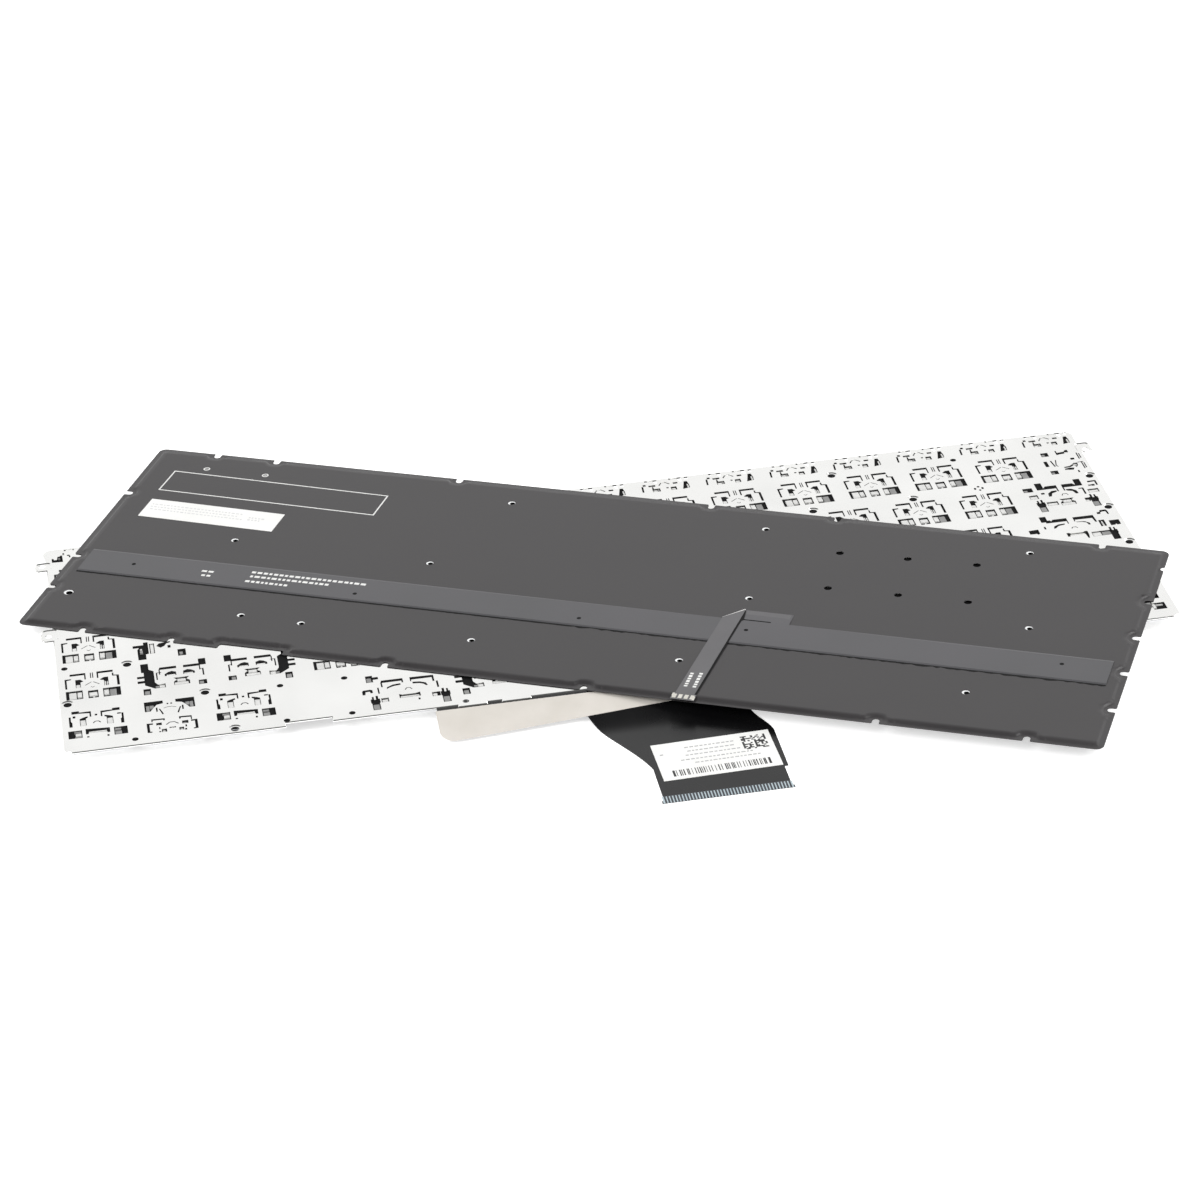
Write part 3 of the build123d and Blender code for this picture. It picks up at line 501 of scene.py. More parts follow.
ALT_PALE = [(-1.9, -5.2, 2.9, -4.2), (-6.7, -6.2, -5.2, -4.8), (6.3, -6.3, 7.4, -4.8)]
ALT_GREY = [(-9.2, -9.5, -7.6, -6.8), (8.7, -9.6, 10.3, -6.9), (-9.5, 4.2, -8.3, 6.5)]
TWIN_FAN = [(-3.9, 0.9), (-0.9, 0.9), (-0.9, 2.6), (-2.0, 3.2), (-3.0, 2.8), (-3.9, 1.9)]
TWIN_CUTS = [
    [(-5.3, 2.0), (-5.0, 2.0), (-5.0, 4.4), (-0.7, 4.4), (-0.7, 5.6), (-5.0, 5.6), (-5.3, 4.4)],
    [(1.1, 4.3), (5.1, 4.3), (5.1, 2.2), (5.4, 2.2), (5.4, 4.6), (7.0, 4.6), (7.0, 7.8), (5.1, 7.8),
     (5.1, 5.5), (1.1, 5.5)], TWIN_FAN, mirrored(TWIN_FAN), [(x + 0.2, y) for x, y in HOURGLASS],
    [(-6.1, -0.5), (-5.75, -0.5), (-5.75, 2.9), (-4.7, 2.9), (-4.7, 3.2), (-6.1, 3.2)],
    [(5.8, -0.7), (6.2, -0.7), (6.2, 2.8), (5.4, 2.8), (5.4, 2.5), (5.8, 2.5)], (4.5, -5.2, 6.6, -3.0),
    (-9.8, 3.9, -7.8, 8.3), (-11.0, 1.0, -9.0, 2.1), (-11.0, -1.4, -9.0, -0.2),
    [(-9.2, -2.6), (-6.8, -4.7), (-4.0, -4.7), (-4.0, -2.7), (-5.9, -2.9), (-6.6, -1.6), (-6.6, 4.2),
     (-7.8, 5.2), (-9.2, 5.2)], (-9.8, -7.5, -7.9, -4.5)]
TWIN_PALE = [(-1.7, -3.9, 1.9, -2.5), (-0.9, -2.3, 1.3, -0.8), (-5.6, -4.5, -4.2, -3.0),
             (-3.4, 0.9, -1.1, 1.9), (1.1, 0.9, 3.4, 1.9)]
TWIN_GREY = [(4.7, -4.9, 5.8, -3.3), (-6.6, -4.2, -5.6, -3.2), (-9.5, -7.2, -8.2, -5.2)]
FUNCTION_CUTS = [
    [(-6.7, -2.2), (-6.2, -2.2), (-6.0, 1.1), (-6.5, 1.1)], (-6.0, 1.2, -5.2, 2.1), (-4.5, 0.5, -2.6, 1.4),
    [(-5.2, 3.2), (-4.4, 3.2), (-4.4, 3.7), (-2.9, 3.7), (-2.7, 3.2), (-2.3, 2.2), (-1.9, 2.3),
     (-1.8, 4.15), (-5.2, 4.15)], (-3.7, -0.9, -3.3, 0.3), (-3.8, -2.6, -1.6, -0.8), (0.2, -1.3, 0.8, -0.7),
    (2.4, 0.9, 3.7, 1.7), (-1.6, 0.8, -0.8, 2.2, 0.35), (-0.8, 2.2, 0.3, 2.3, 0.35),
    (0.3, 2.3, 1.4, 1.1, 0.35),
    [(1.6, 3.4), (2.1, 3.4), (2.2, 3.8), (4.0, 3.7), (4.1, 3.2), (4.6, 2.0), (5.1, 2.0), (5.0, 4.2),
     (1.6, 4.2)], (6.0, 2.9, 6.9, 4.1), (1.4, -2.6, 3.0, -0.7),
    [(4.6, -2.7), (6.6, -2.3), (6.7, -0.4), (6.4, 1.6), (5.5, 1.6), (5.2, 0.0)]]
FUNCTION_PALE = [(-3.6, -2.4, -2.4, -1.3), (1.6, -2.4, 2.7, -1.2), (6.1, -2.0, 6.5, 0.4)]
FUNCTION_GREY = [(-2.3, -2.4, -1.8, -1.0), (-4.2, 0.7, -3.4, 1.2)]
LAST_CUTS = [
    [(-6.9, -2.4), (-3.9, -2.6), (-4.0, 1.0), (-4.4, 1.2), (-4.7, 0.7), (-5.3, 0.6), (-5.5, -1.1),
     (-6.3, -1.1), (-6.4, -0.4), (-6.9, -0.2)],
    [(-3.4, 3.4), (-2.9, 3.4), (-2.9, 3.8), (-1.1, 3.8), (-1.1, 3.4), (-0.6, 3.4), (-0.6, 4.1),
     (-3.4, 4.1)], (-3.9, 1.2, -3.4, 2.3), (-2.7, 0.5, -2.0, 1.1), (-2.2, -0.4, -1.8, 0.5)]
LAST_GREY = [(-5.2, -0.6, -4.6, 0.2)]
ARROW_FAN = [(-4.2, 0.1), (-2.6, 0.1), (-2.6, 3.5), (-2.1, 3.9), (-2.1, 4.6), (-3.4, 4.1), (-4.2, 3.6)]
ARROW_SIDE = [(-6.9, 0.0), (-6.1, 0.0), (-6.1, 2.2), (-6.4, 2.6), (-6.4, 5.0), (-6.9, 5.0)]
ARROW_BAR = [(-6.1, 6.3), (-4.2, 6.3), (-1.6, 6.0), (-1.6, 4.2), (-1.2, 4.2), (-1.2, 6.9), (-4.2, 6.9),
             (-4.2, 7.6), (-6.1, 7.6)]
ARROW_CUTS = [
    ARROW_BAR, [(x, y - 0.4) for x, y in mirrored(ARROW_BAR)], ARROW_SIDE,
    [(x, y - 0.6) for x, y in mirrored(ARROW_SIDE)], ARROW_FAN,
    [(x, y - 0.3) for x, y in mirrored(ARROW_FAN)], (-5.9, 4.3, -5.2, 5.3), (5.3, 4.0, 6.3, 4.6),
    (-0.9, 0.9, -0.4, 1.7, 0.3), (-0.4, 1.7, 0.5, 1.7, 0.3), (0.5, 1.7, 1.0, 0.9, 0.3),
    (-0.3, 4.5, 0.3, 5.3), (-7.4, -5.6, -3.9, -1.9), (4.1, -6.0, 7.5, -2.3),
    [(-3.0, -4.2), (-2.3, -4.2), (-2.3, -3.7), (2.4, -3.9), (2.4, -4.4), (3.1, -4.4), (3.1, -2.1),
     (-3.0, -1.6)], (-2.8, -5.8, -2.2, -5.2), (2.3, -6.2, 2.8, -5.4)]
ARROW_PALE = [(-4.1, 0.2, -2.7, 3.2), (2.7, -0.1, 4.1, 2.9), (-2.2, -3.6, 2.3, -2.7),
              (-5.6, -4.5, -4.1, -3.0)]
ARROW_GREY = [(-5.8, -5.4, -4.1, -4.7), (-5.9, -2.9, -4.1, -2.1), (4.3, -5.8, 6.0, -4.0),
              (4.3, -3.6, 5.9, -2.6)]
UP_WEDGE = [(-6.4, -1.3), (-5.0, -1.3), (-4.0, 0.5), (-3.2, 1.7), (-1.6, 2.1), (-1.6, 3.5), (-6.4, 3.5)]
UP_CUTS = [
    UP_WEDGE, mirrored(UP_WEDGE), (-3.55, -1.7, -3.15, 0.3), (3.05, -1.9, 3.45, 0.2),
    (-2.7, -0.4, -2.25, -1.9, 0.35), (-2.25, -1.9, -1.9, -3.3, 0.4), (2.25, -1.9, 2.7, -0.4, 0.35),
    (1.9, -3.3, 2.25, -1.9, 0.4), (-1.6, -0.3, -0.6, 0.1, 0.2), (-0.6, 0.1, 0.6, 0.1, 0.2),
    (0.6, 0.1, 1.6, -0.4, 0.2), (-0.7, 1.4, -0.25, 2.0), (0.25, 1.4, 0.7, 2.0)]
UP_PALE = [(-4.9, -1.1, -4.4, -0.6), (4.4, -1.1, 4.9, -0.6)]
UP_GREY = [(-6.0, -1.1, -5.1, 1.9), (-5.1, 0.2, -4.0, 1.9), (5.1, -1.1, 6.0, 1.9), (4.0, 0.2, 5.1, 1.9)]
DOWN_SIDE = [(-6.4, -2.9), (-5.2, -3.0), (-5.2, -2.5), (-5.7, -2.4), (-5.7, 0.9), (-4.8, 0.8), (-4.8, 1.5),
             (-6.4, 1.6)]
DOWN_CUTS = [
    DOWN_SIDE, [(x, y - 0.45) for x, y in mirrored(DOWN_SIDE)],
    [(-5.1, 2.1), (-4.8, 2.1), (-4.8, 2.8), (-2.1, 2.7), (-2.1, 2.3), (-1.7, 2.3), (-1.7, 3.3),
     (-5.1, 3.5)],
    [(1.9, 2.2), (2.3, 2.2), (2.3, 2.7), (4.8, 2.5), (4.8, 1.2), (5.1, 1.2), (5.1, 3.2), (1.9, 3.4)],
    (-4.0, 0.2, -2.6, 1.4), (2.5, -0.3, 4.1, 1.1), (-1.5, 0.1, -0.6, 1.1, 0.3), (-0.6, 1.1, 0.6, 1.1, 0.3),
    (0.6, 1.1, 1.6, 0.0, 0.3), (-0.8, -1.8, 0.8, -1.2), (-2.8, -3.3, -1.5, -1.8), (-3.5, -3.2, -3.0, -2.7),
    (1.6, -3.3, 2.8, -1.9), (3.0, -3.5, 3.5, -2.7), (-3.4, -1.7, -3.1, -0.7), (3.2, -2.0, 3.6, -1.0)]
DOWN_PALE = [(-2.6, -3.1, -1.9, -2.2), (1.8, -3.1, 2.6, -2.3), (-3.8, 0.3, -3.2, 0.8),
             (-0.6, -1.7, 0.6, -1.4)]
DOWN_GREY = [(2.7, -0.1, 3.6, 0.6)]
NARROW_CUTS = [
    (-4.7, 5.5, -2.6, 7.7), (-5.1, -0.5, -4.1, 2.7), (-4.7, -5.2, -2.6, -3.1), (2.7, 2.1, 3.8, 3.2),
    [(-0.4, 5.8), (0.2, 5.8), (0.3, 6.0), (2.0, 6.1), (2.0, 6.8), (3.2, 6.6), (3.2, 8.1), (2.5, 8.1),
     (2.0, 7.3), (0.0, 7.0), (0.0, 8.2), (-0.4, 8.2)], (5.0, 2.2, 5.35, 5.9), (5.6, 2.6, 5.9, 5.4),
    (5.0, -3.6, 5.35, 0.6), (5.6, -3.2, 5.9, -0.2), (4.0, 0.3, 5.8, 0.4, 0.3), (-3.0, 2.8, -2.6, -0.8, 0.4),
    (-1.5, 3.0, -2.1, 0.0, 0.3), (-2.2, 0.2, -1.7, -0.9, 0.3),
    [(-0.4, -3.4), (1.9, -3.7), (2.4, -2.6), (1.0, -2.3), (-0.4, -2.6)],
    [(-0.3, -1.6), (1.4, -1.3), (3.0, 0.2), (3.9, 0.1), (3.8, -1.2), (3.2, -2.4), (2.6, -1.2), (1.6, -2.0),
     (-0.3, -2.2)], (2.8, -5.5, 3.3, -4.3)]
NARROW_PALE = [(2.6, -1.0, 3.6, -0.2)]
NARROW_GREY = [(-4.5, 5.8, -3.6, 7.2), (-4.5, -4.9, -3.6, -3.6), (-0.1, -3.3, 0.8, -2.7)]
CAPS_CUTS = [
    [(-7.8, 6.6), (-6.6, 6.6), (-6.6, 5.9), (-1.0, 5.9), (-1.0, 4.4), (-0.7, 4.4), (-0.7, 7.6), (-4.6, 7.6),
     (-5.0, 6.8), (-5.3, 7.4), (-6.0, 7.4), (-6.0, 9.7), (-7.8, 9.7)],
    [(1.0, 5.2), (1.3, 5.2), (1.3, 6.1), (6.1, 6.0), (6.4, 3.7), (6.9, 3.7), (6.7, 7.6), (1.0, 7.6)],
    [(8.1, 7.7), (9.0, 7.7), (9.1, 8.5), (9.6, 8.8), (10.6, 8.8), (10.8, 7.1), (11.2, 7.1), (11.2, 9.0),
     (10.9, 9.8), (9.2, 9.8), (9.0, 8.9), (8.1, 8.7)],
    [(-5.4, 2.6), (-4.8, 2.7), (-3.8, 3.8), (-1.9, 4.2), (-1.9, 4.8), (-3.6, 4.7), (-5.0, 3.9)],
    [(1.4, 4.7), (3.0, 4.5), (4.0, 3.9), (4.3, 2.6), (4.8, 2.6), (4.8, 3.6), (3.6, 4.8), (1.4, 5.0)],
    (7.3, 0.9, 8.9, 4.4), (-7.9, 2.8, -7.4, 4.2), (-0.7, 1.6, -0.4, 2.3, 0.25), (-0.4, 2.3, 0.6, 2.3, 0.25),
    (0.6, 2.3, 0.9, 1.6, 0.25),
    [(10.0, 0.8), (11.2, 0.9), (11.5, 1.4), (11.8, 0.8), (12.8, 1.0), (12.8, 3.6), (10.0, 3.6)],
    [(-12.4, 1.0), (-11.2, 0.9), (-10.6, 1.0), (-10.3, 0.4), (-9.7, 0.8), (-9.7, 3.2), (-12.4, 3.0)],
    [(-2.9, -2.6), (-2.2, -2.6), (-2.2, -2.2), (2.0, -2.1), (2.2, -4.5), (2.6, -4.5), (2.9, -2.4),
     (2.9, -0.6), (2.2, -0.6), (1.6, -1.0), (-1.8, -1.0), (-2.2, -0.6), (-2.9, -0.6)],
    (3.7, -4.1, 9.0, -1.5), [(x + 2.3, y - 0.3) for x, y in mirrored(COMB)]]
CAPS_PALE = [(-2.0, -2.0, 2.0, -1.2), (8.0, 1.1, 8.4, 4.0), (3.9, -3.9, 6.2, -1.8)]
CAPS_GREY = [(6.5, -3.9, 8.8, -1.8), (9.3, 8.0, 10.5, 8.6)]
ENTER_CUTS = [
    [(-15.8, -2.0), (-14.2, -2.0), (-14.7, -3.0), (-14.7, -8.3), (-12.6, -8.3), (-12.6, -5.7),
     (-11.8, -5.5), (-11.8, 0.6), (-13.0, 0.6), (-13.0, -0.7), (-15.8, -0.7)], (-11.5, -5.6, -10.2, -0.4),
    (-6.8, -3.6, -6.0, -2.2), (-4.4, -8.4, -2.3, -5.0),
    [(-9.7, -2.0), (-8.6, -3.1), (-7.6, -2.4), (-7.0, -1.2), (-6.0, -0.9), (-6.0, -0.2), (-9.0, -0.8)],
    WIDE_BAR, mirrored(WIDE_BAR), WIDE_FAN, mirrored(WIDE_FAN)]
ENTER_PALE = [(-11.3, -5.4, -10.4, -0.6), (-14.0, -3.0, -13.4, -2.2)]
ENTER_GREY = [(-14.1, -4.8, -13.3, -3.3), (-4.0, -7.6, -3.1, -6.0)]


def mirrored_boxes(boxes):
    """The same boxes on the other side of the key's middle."""
    return [(-x1, y0, -x0, y1) for x0, y0, x1, y1 in boxes]


TWIN_LEFT = (TWIN_CUTS, TWIN_PALE, TWIN_GREY)
TWIN_RIGHT = ([mirrored(cut_loop(cut)) for cut in TWIN_CUTS],
              mirrored_boxes(TWIN_PALE), mirrored_boxes(TWIN_GREY))


def mount_kinds(name, width, depth):
    """Cut-outs, pale and grey lever ends of each mount of a key, by the kind of the key."""
    arrow = (ARROW_CUTS, ARROW_PALE, ARROW_GREY)
    named = {"left_arrow_key": arrow, "right_arrow_key": arrow,
             "up_arrow_key": (UP_CUTS, UP_PALE, UP_GREY),
             "down_arrow_key": (DOWN_CUTS, DOWN_PALE, DOWN_GREY),
             "caps_lock_key": (CAPS_CUTS, CAPS_PALE, CAPS_GREY),
             "enter_key": (ENTER_CUTS, ENTER_PALE, ENTER_GREY), "last": (LAST_CUTS, [], LAST_GREY)}
    if name in named:
        return [named[name]]
    if width > TWO_MOUNTS:
        return [TWIN_LEFT, TWIN_RIGHT]
    if ALT_WIDTHS[0] < width < ALT_WIDTHS[1]:
        return [(ALT_CUTS, ALT_PALE, ALT_GREY)]
    if width > ALT_WIDTHS[0]:
        return [(WIDE_CUTS, WIDE_PALE, WIDE_GREY)]
    if width < NARROW_WIDTH:
        return [(NARROW_CUTS, NARROW_PALE, NARROW_GREY)]
    if depth < ROW_PITCH:
        return [(FUNCTION_CUTS, FUNCTION_PALE, FUNCTION_GREY)]
    return [(SQUARE_CUTS, SQUARE_PALE, SQUARE_GREY)]


def mount_spots(x, width):
    """Middles of a key's mounts: one, or two set in from the ends of a long key."""
    return [x] if width < TWO_MOUNTS else [x - width / 2 + MOUNT_INSET, x + width / 2 - MOUNT_INSET]


def plate_outline():
    """Plate's edge, counter-clockwise from the near left corner: round corners, lugs, step and ears."""
    x, y = PLATE_HALF_X, PLATE_HALF_Y
    corners = rounded_path(2 * x, 2 * y, PLATE_CORNER).reshape(4, -1, 2)
    loop = [*corners[2], (RECESS[0], -y), (RECESS[0], RECESS[2] - y), (RECESS[1], RECESS[2] - y),
            (RECESS[1], -y)]
    for lug in LUGS:
        loop += [(lug - LUG_HALF, -y), (lug - LUG_HALF, -y - LUG_REACH), (lug + LUG_HALF, -y - LUG_REACH),
                 (lug + LUG_HALF, -y)]
    loop += [*corners[3]]
    for (_, ear_y, low, high), side in ((EARS[2], 1), (EARS[0], -1), (EARS[1], -1)):
        reach, cut = side * EAR_REACH, side * EAR_CUT
        first, last = (ear_y + low, ear_y + high) if side > 0 else (ear_y + high, ear_y + low)
        loop += [(side * x, first), (reach - cut, first), (reach, first + cut), (reach, last - cut),
                 (reach - cut, last), (side * x, last)]
        if side > 0:
            loop += [*corners[0], *(corners[1] + LEFT_STEP)]
    return np.array(loop)


def drawn_in(loop, distance):
    """Counter-clockwise loop moved inwards: each corner goes along the sum of its two edges' normals,
    by the distance over one plus the product of the normals."""
    ahead = np.roll(loop, -1, axis=0) - loop
    normal = np.column_stack([-ahead[:, 1], ahead[:, 0]]) / np.hypot(*ahead.T)[:, None]
    before = np.roll(normal, 1, axis=0)
    return loop + distance * (normal + before) / (1 + np.sum(normal * before, axis=1))[:, None]


def ear_dish(x, y, low, high):
    """Rim of the dish pressed in an ear: a rounded rectangle from inside the plate to the ear's end."""
    outer = EAR_REACH - DISH_RIM
    middle = [np.sign(x) * (outer + DISH_ROOT) / 2, y + (low + high) / 2]
    return rounded_path(outer - DISH_ROOT, high - low - 2 * DISH_RIM, DISH_CORNER) + middle


holes, pale_ends, grey_ends = [], [], []
for row in ROW_CELLS:
    for name, x, y, width, depth in row_keys(row) + (STACK_KEYS if row == "space" else []):
        for spot, (cuts, pale, grey) in zip(mount_spots(x, width), mount_kinds(name, width, depth)):
            holes += [np.array(cut_loop(cut)) + [spot, y] for cut in cuts]
            pale_ends += [(x0 + spot, y0 + y, x1 + spot, y1 + y) for x0, y0, x1, y1 in pale]
            grey_ends += [(x0 + spot, y0 + y, x1 + spot, y1 + y) for x0, y0, x1, y1 in grey]
holes += [block(*window) for window in CORNER_WINDOWS]
pale_ends += CORNER_LEVERS
dishes = [ear_dish(*ear) for ear in EARS]
holes += [circle(x, y, SEAT_PROFILE[-1][0], SEAT_POINTS) for x, y in BOSSES] + dishes
holes += [circle(x, y, PLAIN_HOLE, 14) for x, y in PLAIN_HOLES]
holes += [circle(0, 0, 1.0, 10) * [wide, tall] + [x, y] for x, y, wide, tall in PIN_HOLES]
# Rolled aluminium: mirrors the white room, faintly streaked along the rolling and a little wavy.
rolled_aluminium = surface("bright_rolled_aluminium", ("#f8f8f6", "#f0f0ee"), 24, 0.5, 0.002, (0.14, 0.2),
                           {"Metallic": 1.0}, stretch=(0.08, 1, 1), wave=(30, 0.02))
outline = plate_outline()
inner_outline = drawn_in(outline, PLATE_RIM)
add_piece("punched_back_plate", *sheet_shell(punched_net(inner_outline, holes), PLATE_LOW, PLATE_TOP),
          rolled_aluminium, "plate_metal", replaced=["base_plate"])
rim_rings = [raised(inner_outline, PLATE_TOP), raised(outline, PLATE_TOP - RIM_FALL),
             raised(outline, PLATE_LOW), raised(inner_outline, PLATE_LOW)]
add_piece("sheared_plate_rim", *ring_stack(rim_rings, looped=True), rolled_aluminium, "plate_metal")
seat_ring = circle(0, 0, 1.0, SEAT_POINTS)
seat = ring_stack([raised(seat_ring * r, z) for r, z in SEAT_PROFILE], looped=True)
seats = [(seat[0] + [x, y, 0], seat[1]) for x, y in BOSSES]
add_piece("sunk_screw_seats", *join_shells(seats), rolled_aluminium, "plate_metal", sharp=20)
shells = []
for (x, y, _, _), rim in zip(EARS, dishes):
    foot = drawn_in(rim, DISH_FLANK)
    shells += [ring_stack([raised(foot, DISH_FLOOR), raised(rim, PLATE_TOP), raised(rim, PLATE_LOW),
                           raised(foot, PLATE_LOW)], looped=True),
               sheet_shell(punched_net(foot, [circle(x, y, EAR_HOLE)]), PLATE_LOW, DISH_FLOOR)]
add_piece("pressed_ear_dishes", *join_shells(shells), rolled_aluminium, "plate_metal", sharp=20)


# Lever ends: the tips of the levers that turn in the plate's hooks and show in its windows, in a pale
# painted lit tone and a grey painted shade. They stand on the film, slope down to the far side and
# stop under the plate's face.
LEVER_END_LOW, LEVER_END_TOP, LEVER_END_EDGE, LEVER_END_FALL = 3.15, 3.5, 0.06, 0.16


def blocks(boxes, low, high, edge=0.0, fall=0.0):
    """Closed flat blocks, each a rectangle at its foot and the same one drawn in by an edge at its top,
    which falls towards the far side."""
    boxes = np.asarray(boxes, float)
    x0, y0, x1, y1 = boxes.T
    foot = np.stack([np.stack(p, -1) for p in ((x0, y0), (x1, y0), (x1, y1), (x0, y1))], axis=1)
    inward = np.array([[1, 1], [-1, 1], [-1, -1], [1, -1]]) * edge
    top = np.broadcast_to(np.array([high, high, high - fall, high - fall]), foot.shape[:2])
    corners = np.concatenate([np.dstack([foot, np.full(foot.shape[:2], low)]),
                              np.dstack([foot + inward, top])], axis=1)
    pattern = np.array([[3, 2, 1, 0], [4, 5, 6, 7], [0, 1, 5, 4], [1, 2, 6, 5], [2, 3, 7, 6], [3, 0, 4, 7]])
    faces = (np.arange(len(boxes))[:, None, None] * 8 + pattern).reshape(-1, 4)
    return corners.reshape(-1, 3), faces.tolist()


# One acetal in two tones, satin: the pale is painted light and the mid grey is painted shade.
lit_acetal = surface("painted_light_acetal", ("#d9d9d7", "#c9c9c7"), 4, 0.2, 0.003, (0.35, 0.45))
# Painted shade: this mid grey stands for the shade in the darker windows.
grey_acetal = surface("painted_shade_acetal", ("#8d8d8c", "#7e7e7d"), 4, 0.2, 0.003, (0.4, 0.5))
for name, boxes, acetal in (("lit_lever_ends", pale_ends, lit_acetal),
                            ("shaded_lever_ends", grey_ends, grey_acetal)):
    ends = blocks(boxes, LEVER_END_LOW, LEVER_END_TOP, LEVER_END_EDGE, LEVER_END_FALL)
    add_piece(name, *ends, acetal, "lever_plastic")


# Release paper: siliconed beige paper on the glue of the tail's wide part. It bends with the tail,
# and is peeled off when the keyboard is fitted.
LINER_RIGHT, LINER_TOP, LINER_THICK = 12.0, -54.65, 0.1
LINER_BEND = (-50, 11.8, -65.4, -54.9)


def liner_outline():
    """Paper that laps the film's edges, with the film's rounded corner."""
    side = wide_tail_side(0.0, LINER_TOP)
    free = np.linspace(side[-1, 0], LINER_RIGHT, 24)[1:]
    end = np.linspace(wide_tail_y(LINER_RIGHT), LINER_TOP, 12)[1:]
    return np.concatenate([side, np.column_stack([free, wide_tail_y(free)]),
                           np.column_stack([np.full(len(end), LINER_RIGHT), end])])


# Siliconed paper: warm beige with a soft shine, a little cockled.
release_paper = surface("siliconed_release_paper", ("#d3cec7", "#cac5bd"), 9, 0.35, 0.006, (0.5, 0.62),
                        wave=(14, 0.05))
net = punched_net(liner_outline(), inner=grid_points(*LINER_BEND, *BEND_STEP))
low = tail_height(net[0][:, 1]) + FILM_THICK
add_piece("release_paper", *sheet_shell(net, low, low + LINER_THICK), release_paper, "release_paper",
          replaced=["adhesive_liner"], sharp=50)


# Tail end: a white paper label with plain printed bars, and the row of carbon contacts on a pale
# stiffener that is bonded under the end.
TAIL_TOP = 0.1
LABEL_X, LABEL_Y, LABEL_TURN, LABEL_TOP = 14.8, -86.75, 1.5, 0.18
PRINT_THICK = 0.012
BAR_COUNT, BAR_START, BAR_END, BAR_LOW, BAR_HIGH, END_BAR = 39, -12.9, 12.6, -7.1, -4.3, 0.6
BAR_STEP, BAR_WIDTH = (0.35, 0.95), (0.12, 0.32)
CELL_COUNT, CELL, CELL_SHARE, CODE_CORNER = 12, 0.52, 0.55, (7.4, 0.6)
FAINT_ROWS = [(-13.6, -12.2, 3.2, 0.5), (-7.0, 5.6, 5.2, 0.45), (-6.6, 6.2, 3.4, 0.45),
              (-7.4, 7.0, 1.6, 0.45), (-9.0, 9.4, -0.4, 0.45), (-5.8, 11.4, -2.2, 0.45)]
STIFFENER, STIFFENER_THICK = (-1.9, TAIL_END + 0.02, 30.5, -102.4), 0.02
DASHES = 80


def turned(points, x, y, degrees):
    """Points turned about the origin and then moved."""
    turn = np.radians(degrees)
    spin = np.array([[np.cos(turn), -np.sin(turn)], [np.sin(turn), np.cos(turn)]])
    points = np.array(points)
    points[:, :2] = points[:, :2] @ spin.T + [x, y]
    return points


def dash_rows(rows, draws, lengths=(0.5, 1.1), gap=0.35):
    """Rows of short dashes of drawn lengths, each row given by its ends, its level and its height."""
    dashes = []
    for x0, x1, y, height in rows:
        runs = draws.uniform(*lengths, DASHES)
        starts = x0 + np.cumsum(runs + gap) - runs - gap
        keep = starts + runs < x1
        row = np.column_stack([starts, np.full(DASHES, y), starts + runs, np.full(DASHES, y + height)])
        dashes.append(row[keep])
    return np.concatenate(dashes)


draws = np.random.default_rng(7)
bar_x = BAR_START + np.cumsum(draws.uniform(*BAR_STEP, BAR_COUNT))
bar_wide = draws.uniform(*BAR_WIDTH, BAR_COUNT)
bar_wide[[0, -1]] = END_BAR
bars = np.column_stack([bar_x, np.full(BAR_COUNT, BAR_LOW), bar_x + bar_wide, np.full(BAR_COUNT, BAR_HIGH)])
cells = np.stack(np.meshgrid(np.arange(CELL_COUNT), np.arange(CELL_COUNT)), axis=-1).reshape(-1, 2)
cells = CODE_CORNER + CELL * cells[draws.random(CELL_COUNT ** 2) < CELL_SHARE]
label_bars = np.concatenate([bars[bar_x < BAR_END], np.column_stack([cells, cells + CELL])])
# Coated label paper: bright white, nearly matte. Its ink is dark grey, and pale in thin lines.
label_paper = surface("coated_label_paper", ("#f1f1ef", "#eaeae7"), 12, 0.4, 0.004, (0.4, 0.5))
print_ink = surface("dark_print_ink", ("#2c2c2d", "#383839"), 3, 0.3, 0.002, (0.5, 0.6))
faint_ink = surface("faint_print_ink", ("#a9a9aa", "#b5b5b6"), 3, 0.3, 0.002, (0.5, 0.6))
for name, boxes, ink in (("label_print", label_bars, print_ink),
                         ("label_lines", dash_rows(FAINT_ROWS, draws), faint_ink)):
    points, faces = blocks(boxes, LABEL_TOP, LABEL_TOP + PRINT_THICK)
    add_piece(name, turned(points, LABEL_X, LABEL_Y, LABEL_TURN), faces, ink, "contact_carbon")
dress("tail_label", label_paper)
# Stiffener film: pale blue-grey and satin between the contacts.
stiffener = surface("pale_stiffener_film", ("#b6c4ca", "#a9b8bf"), 5, 0.3, 0.003, (0.35, 0.45))
add_piece("contact_stiffener", *blocks([STIFFENER], TAIL_TOP, TAIL_TOP + STIFFENER_THICK), stiffener,
          "clear_film")
# Carbon ink: dark grey with the sheen of graphite.
dress("tail_contacts", surface("carbon_contact_ink", ("#2e3136", "#383b40"), 2, 0.2, 0.003, (0.38, 0.46)))


# Backlight sheet: a black mask film, a clear light guide and a black cover film drawn over it.
# The cover's border is pressed flat on the mask, and notches clear the plate's hooks.
SHEET_X, SHEET_Y, SHEET_TURN = -1.2, -3.0, -26.1
SHEET_HALF_X, SHEET_HALF_Y, SHEET_CORNER = 144.4, 50.9, 2.1
NOTCH_HALF, NOTCH_DEPTH, MOUTH = 0.9, 2.2, (0.25, 0.3)
NET_STEP, LONG_ROWS, SHORT_ROWS, NET_CLEAR = 1.4, (-142.6, 143), (-49, 49.1), 0.4
STEP_SHARES, MIDDLE_GRID = (-1.4, 0, 0.25, 0.5, 0.75, 1, 2.6), (-136, 137, -40, 41, 8.0, 8.0)
FAR_NOTCHES = np.array([-0.878, -0.754, -0.377, 0.127, 0.373, 0.875]) * SHEET_HALF_X
NEAR_NOTCHES = np.array([-0.873, -0.70, -0.29, 0.08, 0.605, 0.868]) * SHEET_HALF_X
LEFT_NOTCHES = np.array([0.47, -0.25, -0.59]) * SHEET_HALF_Y
